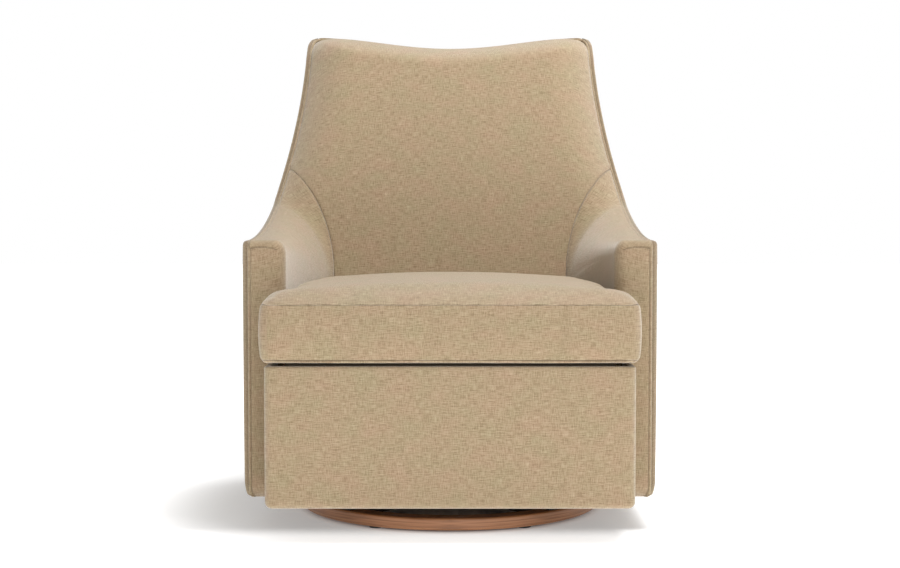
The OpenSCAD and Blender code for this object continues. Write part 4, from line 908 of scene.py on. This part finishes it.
def cushion_half(y):
    """Half width of the cushion in plan: its ears, a turn in front of the arms, then along the inside arms."""
    share = np.clip((y - ARM_FRONT_Y - 0.014) / (0.112 - ARM_FRONT_Y), 0, 1)
    body = mix(ARM_IN_X, SEAM_X, share ** 1.8) - 0.0065
    ear = EAR_X - EAR_R * (1 - rim(y + CUSHION_Y, EAR_R))
    return mix(ear, body, smooth((y - NOTCH_Y) / 0.012))


def hump(t):
    """Rounded hump between t = 0 and t = 1: (1 - |2t - 1|^4)^0.5."""
    return np.maximum(0, 1 - np.abs(2 * t - 1) ** 4) ** 0.5


def belly(s, t):
    """Gentle belly under the cushion: (1 - |s|^3)^0.6 across and a hump along."""
    return (1 - np.abs(s) ** 3) ** 0.6 * hump(t)


def top_crown(s, t, y, gap):
    """Crown above: a flat hump and a round shoulder, wide at the ears and narrow between the arms."""
    shoulder = mix(0.050, 0.016, smooth((y - NOTCH_Y) / 0.060))
    across = mix(rim(gap, shoulder), 1 - np.abs(s) ** 2.2, 0.35)
    lift = 0.4 * np.abs(s) ** 8 * smooth((y - NOTCH_Y) / 0.300)
    return mix(across * hump(t), 1, lift)


def boxing_shares():
    """Heights of the boxing's rows, closer together at both seams: 0 at the upper and 1 at the lower one."""
    return 0.5 - 0.5 * np.cos(np.pi * np.linspace(0, 1, BOXING_ROWS + 1))


def make_cushion():
    """Boxed cushion: crowned top, its cloth turned in at both seams, and boxing that swells between them."""
    s = spread(-1, 1, 71, 0.75)[:, None]
    rear = float(face_y(TOP_SEAM_Z)) - 0.007
    ys = join([-CUSHION_Y + EAR_R * (1 - np.cos(np.linspace(0, np.pi / 2, 9)))[:-1],
               np.linspace(-CUSHION_Y + EAR_R, CLOSE_YS[0], 14)[:-1], np.linspace(*CLOSE_YS, 8)[:-1],
               mix(CLOSE_YS[1], rear, 1 - (1 - np.linspace(0, 1, 44)) ** 1.15)])[None]
    x = s * cushion_half(ys)
    t = (ys - ys[0, 0]) / (rear - ys[0, 0])
    y = np.broadcast_to(ys, x.shape)
    plan = np.stack([x, y], -1)
    gap = nearest(plan, outline(plan))
    top = np.stack([x, y, TOP_SEAM_Z + CROWN_H * top_crown(s, 0.94 * t, y, gap)], -1)
    low_z = LOW_SEAM_Z - 0.0062 * rim(gap, 0.010) - 0.0008 * belly(s, t)
    low = np.stack([x, y - 0.028 * t, low_z], -1)
    nu, nv = x.shape
    n = nu * nv
    at = np.arange(n).reshape(nu, nv)
    loop = outline(at)
    top, low = top.reshape(-1, 3), low.reshape(-1, 3)
    ahead = np.roll(top[loop], -1, 0) - np.roll(top[loop], 1, 0)
    out = np.stack([ahead[:, 1], -ahead[:, 0], 0 * ahead[:, 0]], -1)
    out /= np.linalg.norm(out, axis=1, keepdims=True)
    for _ in range(4):
        out = out + np.roll(out, 1, 0) + np.roll(out, -1, 0)
        out /= np.linalg.norm(out, axis=1, keepdims=True)
    r = boxing_shares()[1:-1, None, None]
    boxing = mix(top[loop], low[loop], r) + 0.0045 * np.sin(np.pi * r) ** 0.45 * out
    between = 2 * n + np.arange(len(r) * len(loop)).reshape(len(r), len(loop))
    rings = join([loop[None], between, loop[None] + n])
    quads = grid_quads(at)
    points = join([top, low, boxing.reshape(-1, 3)])
    faces = join([quads, quads[:, ::-1] + n, round_quads(rings)])
    return build("seat_cushion_cover", points, faces), faces, loop, n


def cushion_map(piece, faces, loop, n):
    """Cloth map of the cushion: plan places above and below, and length round by height on the boxing."""
    mesh = piece.data
    points, index = places(mesh), corner_points(mesh)
    uv = points[index][:, :2].copy()
    around = travelled(points[loop])
    around = join([around, around[-1:] + 0.01])
    ring, place = np.divmod(np.arange(BOXING_ROWS * len(loop)), len(loop))
    height = mix(TOP_SEAM_Z, LOW_SEAM_Z, boxing_shares())
    u = np.stack([around[place], around[place], around[place + 1], around[place + 1]], -1)
    v = np.stack([height[ring], height[ring + 1], height[ring + 1], height[ring]], -1)
    first = len(faces) - len(ring)
    if index[4 * first] != faces[first, 0]:
        u, v = u[:, ::-1], v[:, ::-1]
    uv[4 * first:] = np.stack([u, v], -1).reshape(-1, 2)
    map_cloth(mesh, uv)
    # Painted shade: dark lines along the cushion's upper and lower seams.
    painted_shade = np.zeros(len(points))
    painted_shade[loop] = 1.0
    painted_shade[n + loop] = 0.8
    paint_crease_shade(mesh, painted_shade)


def pressed_out(piece, held, most):
    """Cloth simulation under pressure: held seams stay, and no point moves further than most."""
    before = places(piece.data)
    pins = piece.vertex_groups.new(name="seams")
    pins.add([int(k) for k in held], 1.0, "REPLACE")
    cloth = piece.modifiers.new("stuffing", "CLOTH")
    for key, value in {
            "quality": 6, "mass": 0.3, "tension_stiffness": 12, "compression_stiffness": 12,
            "shear_stiffness": 4, "bending_stiffness": 0.4, "use_pressure": True,
            "uniform_pressure_force": 4.0, "shrink_min": -0.012, "vertex_group_mass": pins.name}.items():
        setattr(cloth.settings, key, value)
    cloth.settings.effector_weights.gravity = 0.0
    cloth.collision_settings.use_collision = False
    cloth.collision_settings.use_self_collision = False
    scene = bpy.context.scene
    for step in range(1, 21):
        scene.frame_set(step)
    moved = piece.evaluated_get(bpy.context.evaluated_depsgraph_get())
    way = places(moved.to_mesh()) - before
    moved.to_mesh_clear()
    piece.modifiers.remove(cloth)
    piece.vertex_groups.remove(pins)
    scene.frame_set(1)
    far = np.linalg.norm(way, axis=1, keepdims=True)
    way *= most * np.tanh(far / most) / np.maximum(far, 1e-9)
    piece.data.vertices.foreach_set("co", (before + way).ravel())
    piece.data.update()


inside_back = placed(make_inside_back(), "linen", "inside_back")
for side in (-1, 1):
    inside_arm = make_inside_arm(side)
    placed(inside_arm, "linen", "inside_arm_" + hand(side), *(["arm_facings"] if side < 0 else []))
    outside_arm = placed(make_outside_arm(side), "linen", "outside_arm_" + hand(side))
    placed(make_piping(side), "piping_linen", "piping_" + hand(side))
outside_back = placed(make_outside_back(), "linen", "outside_back")
apron = placed(make_apron(), "linen", "apron", "nose_sides")

cushion, *layout = make_cushion()
cushion_map(cushion, *layout)
_, upper_seam, count = layout
underside = np.arange(count, 2 * count)
pressed_out(cushion, join([upper_seam, underside]), 0.0035)
placed(cushion, "linen", "seat_cushion")
finer = cushion.modifiers.new("finer", "SUBSURF")
finer.levels = finer.render_levels = 1
finer.boundary_smooth = "PRESERVE_CORNERS"


def level_sheet(half, front, rear, ends):
    """Grid of places of a flat rectangle, closer together at its ends; x and y."""
    s, t = spread(-1, 1, 40, ends)[:, None], spread(0, 1, 40, ends)[None]
    return s * half + 0 * t, mix(front, rear, t) + 0 * s


DECK_HALF, DECK_FRONT, DECK_REAR = 0.2985, -0.3855, 0.1085
DECK_LOW_Z, DECK_SIDE_Z, DECK_RIM = 0.3050, 0.3108, 0.012


def make_deck():
    """Deck pad under the cushion: flat, with its rim rounded over."""
    x, y = level_sheet(DECK_HALF, DECK_FRONT, DECK_REAR, 0.8)
    edge = np.minimum(DECK_HALF - np.abs(x), np.minimum(y - DECK_FRONT, DECK_REAR - y))
    near = np.stack([x, y, DECK_SIDE_Z + DECK_RIM * rim(edge, DECK_RIM)], -1)
    far = near.copy()
    far[..., 2] = DECK_LOW_Z
    # Painted shade: the front edge, seen in the gap under the cushion, is painted dark.
    return slab("deck_pad", near, far, streak(y - DECK_FRONT, 0.03))


BAND_HALF = 0.0248        # half width of a webbing band
RIPPLES = 30              # ripples along a band


def make_band(number, x):
    """Elastic band up the back: flat, its two rims rounded, with a fine ripple along its length."""
    low_box, high_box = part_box("back_webbing")
    w = np.linspace(-1, 1, 13)[:, None]
    t = np.linspace(0, 1, 90)[None]
    z = mix(low_box[2] + 0.0005, high_box[2] - 0.0005, t) + 0 * w
    front = mix(low_box[1], high_box[1] - 0.0023, t)
    y = front + 0.0009 * (1 - rim(1 - np.abs(w), 0.12))
    y = y + 0.0001 * (1 - np.cos(2 * np.pi * RIPPLES * t))
    near = np.stack([x + w * BAND_HALF + 0 * t, y, z], -1)
    far = near.copy()
    far[..., 1] = front + 0.0021
    return slab("webbing_band_%d" % number, near, far, 0 * z)


DUST_HALF, DUST_FRONT, DUST_REAR, DUST_Z, DUST_T = 0.2770, -0.3635, 0.1490, 0.26335, 0.0005


def make_dust_cover():
    """Dust cover: a thin cloth stretched under the seat, with slight waves."""
    x, y = level_sheet(DUST_HALF, DUST_FRONT, DUST_REAR, 0.6)
    waves = 0.0002 * np.sin(70 * x) * np.sin(60 * y)
    near = np.stack([x, y, DUST_Z + waves], -1)
    far = near.copy()
    far[..., 2] += DUST_T
    return slab("dust_cover_cloth", near, far, 0 * x)


placed(make_deck(), "deck_cloth", "seat_deck")
for number, x in enumerate((-0.193, -0.0643, 0.0643, 0.193)):
    placed(make_band(number, x), "webbing", "back_webbing")
dust_cover = placed(make_dust_cover(), "dust_cloth", "dust_cover")


# Camera: fitted to the chair's outline in the photo
eye = bpy.data.cameras.new("front_view")
eye.lens = 61.756
eye.sensor_width = 36.0
eye.sensor_fit = "HORIZONTAL"
camera = shown("front_view", eye)
camera.location = (0.0, -3.1208, 0.5932)
camera.rotation_euler = (np.pi / 2 - 0.0472, 0.0, 0.0)
bpy.context.scene.camera = camera


def soft_light(name, place, target, width, power):
    """Square area light turned towards a target."""
    lamp = bpy.data.lights.new(name, "AREA")
    lamp.shape = "SQUARE"
    lamp.size = width
    lamp.energy = power
    made = shown(name, lamp)
    made.location = place
    made.rotation_euler = (Vector(target) - Vector(place)).to_track_quat("-Z", "Y").to_euler()


soft_light("key", (0.70, -0.55, 3.2), (0, 0, 0.3), 1.3, 82)
soft_light("rear", (1.3, 1.3, 2.9), (0, 0, 0.4), 1.6, 36)
soft_light("fill", (1.1, -4.7, 1.5), (0, 0, 0.5), 2.4, 57)

SKY = 0.34                # strength of the room's light; the white behind the chair has strength 1
world = bpy.data.worlds.new("studio")
world.use_nodes = True
room = world.node_tree
seen = node(room, "LightPath", {}).outputs["Is Camera Ray"]
put(room, room.nodes["Background"], {
    0: (1, 1, 1, 1), 1: math(room, "ADD", times(room, seen, 1 - SKY), SKY)})
bpy.context.scene.world = world
bpy.context.scene.view_settings.view_transform = "Standard"

# Floor, lit by painted light in its emission: white far from the chair and in front of it, a painted shadow under
# it, and no glow inside the ring, a painted contact shadow
floor_mesh = bpy.data.meshes.new("floor")
floor_mesh.from_pydata([(-9, -6, 0), (9, -6, 0), (9, 14, 0), (-9, 14, 0)], [], [(0, 1, 2, 3)])
floor = shown("floor", floor_mesh)
floor_finish, tree, floor_shader = start("floor_painted_light")
spot = object_place(tree)
away = node(tree, "VectorMath", {0: spot}, operation="LENGTH").outputs["Value"]
# Painted light and shade: the emission is bright in front and far off, dim under the chair, and none close round
# the ring.
painted_floor_light = math(tree, "ADD", eased(tree, split(tree, spot)[1], -0.34, -0.24, 0.70, 0.30),
            eased(tree, away, 0.42, 0.8, 0.0, 0.6))
painted_floor_light = times(tree, painted_floor_light, eased(tree, away, 0.27, 0.315, 0.0, 1.0))
put(tree, floor_shader, {"Base Color": (0.80, 0.80, 0.80, 1), "Roughness": 0.75,
                         "Emission Color": painted_floor_light, "Emission Strength": 1.0})
floor_mesh.materials.append(floor_finish)
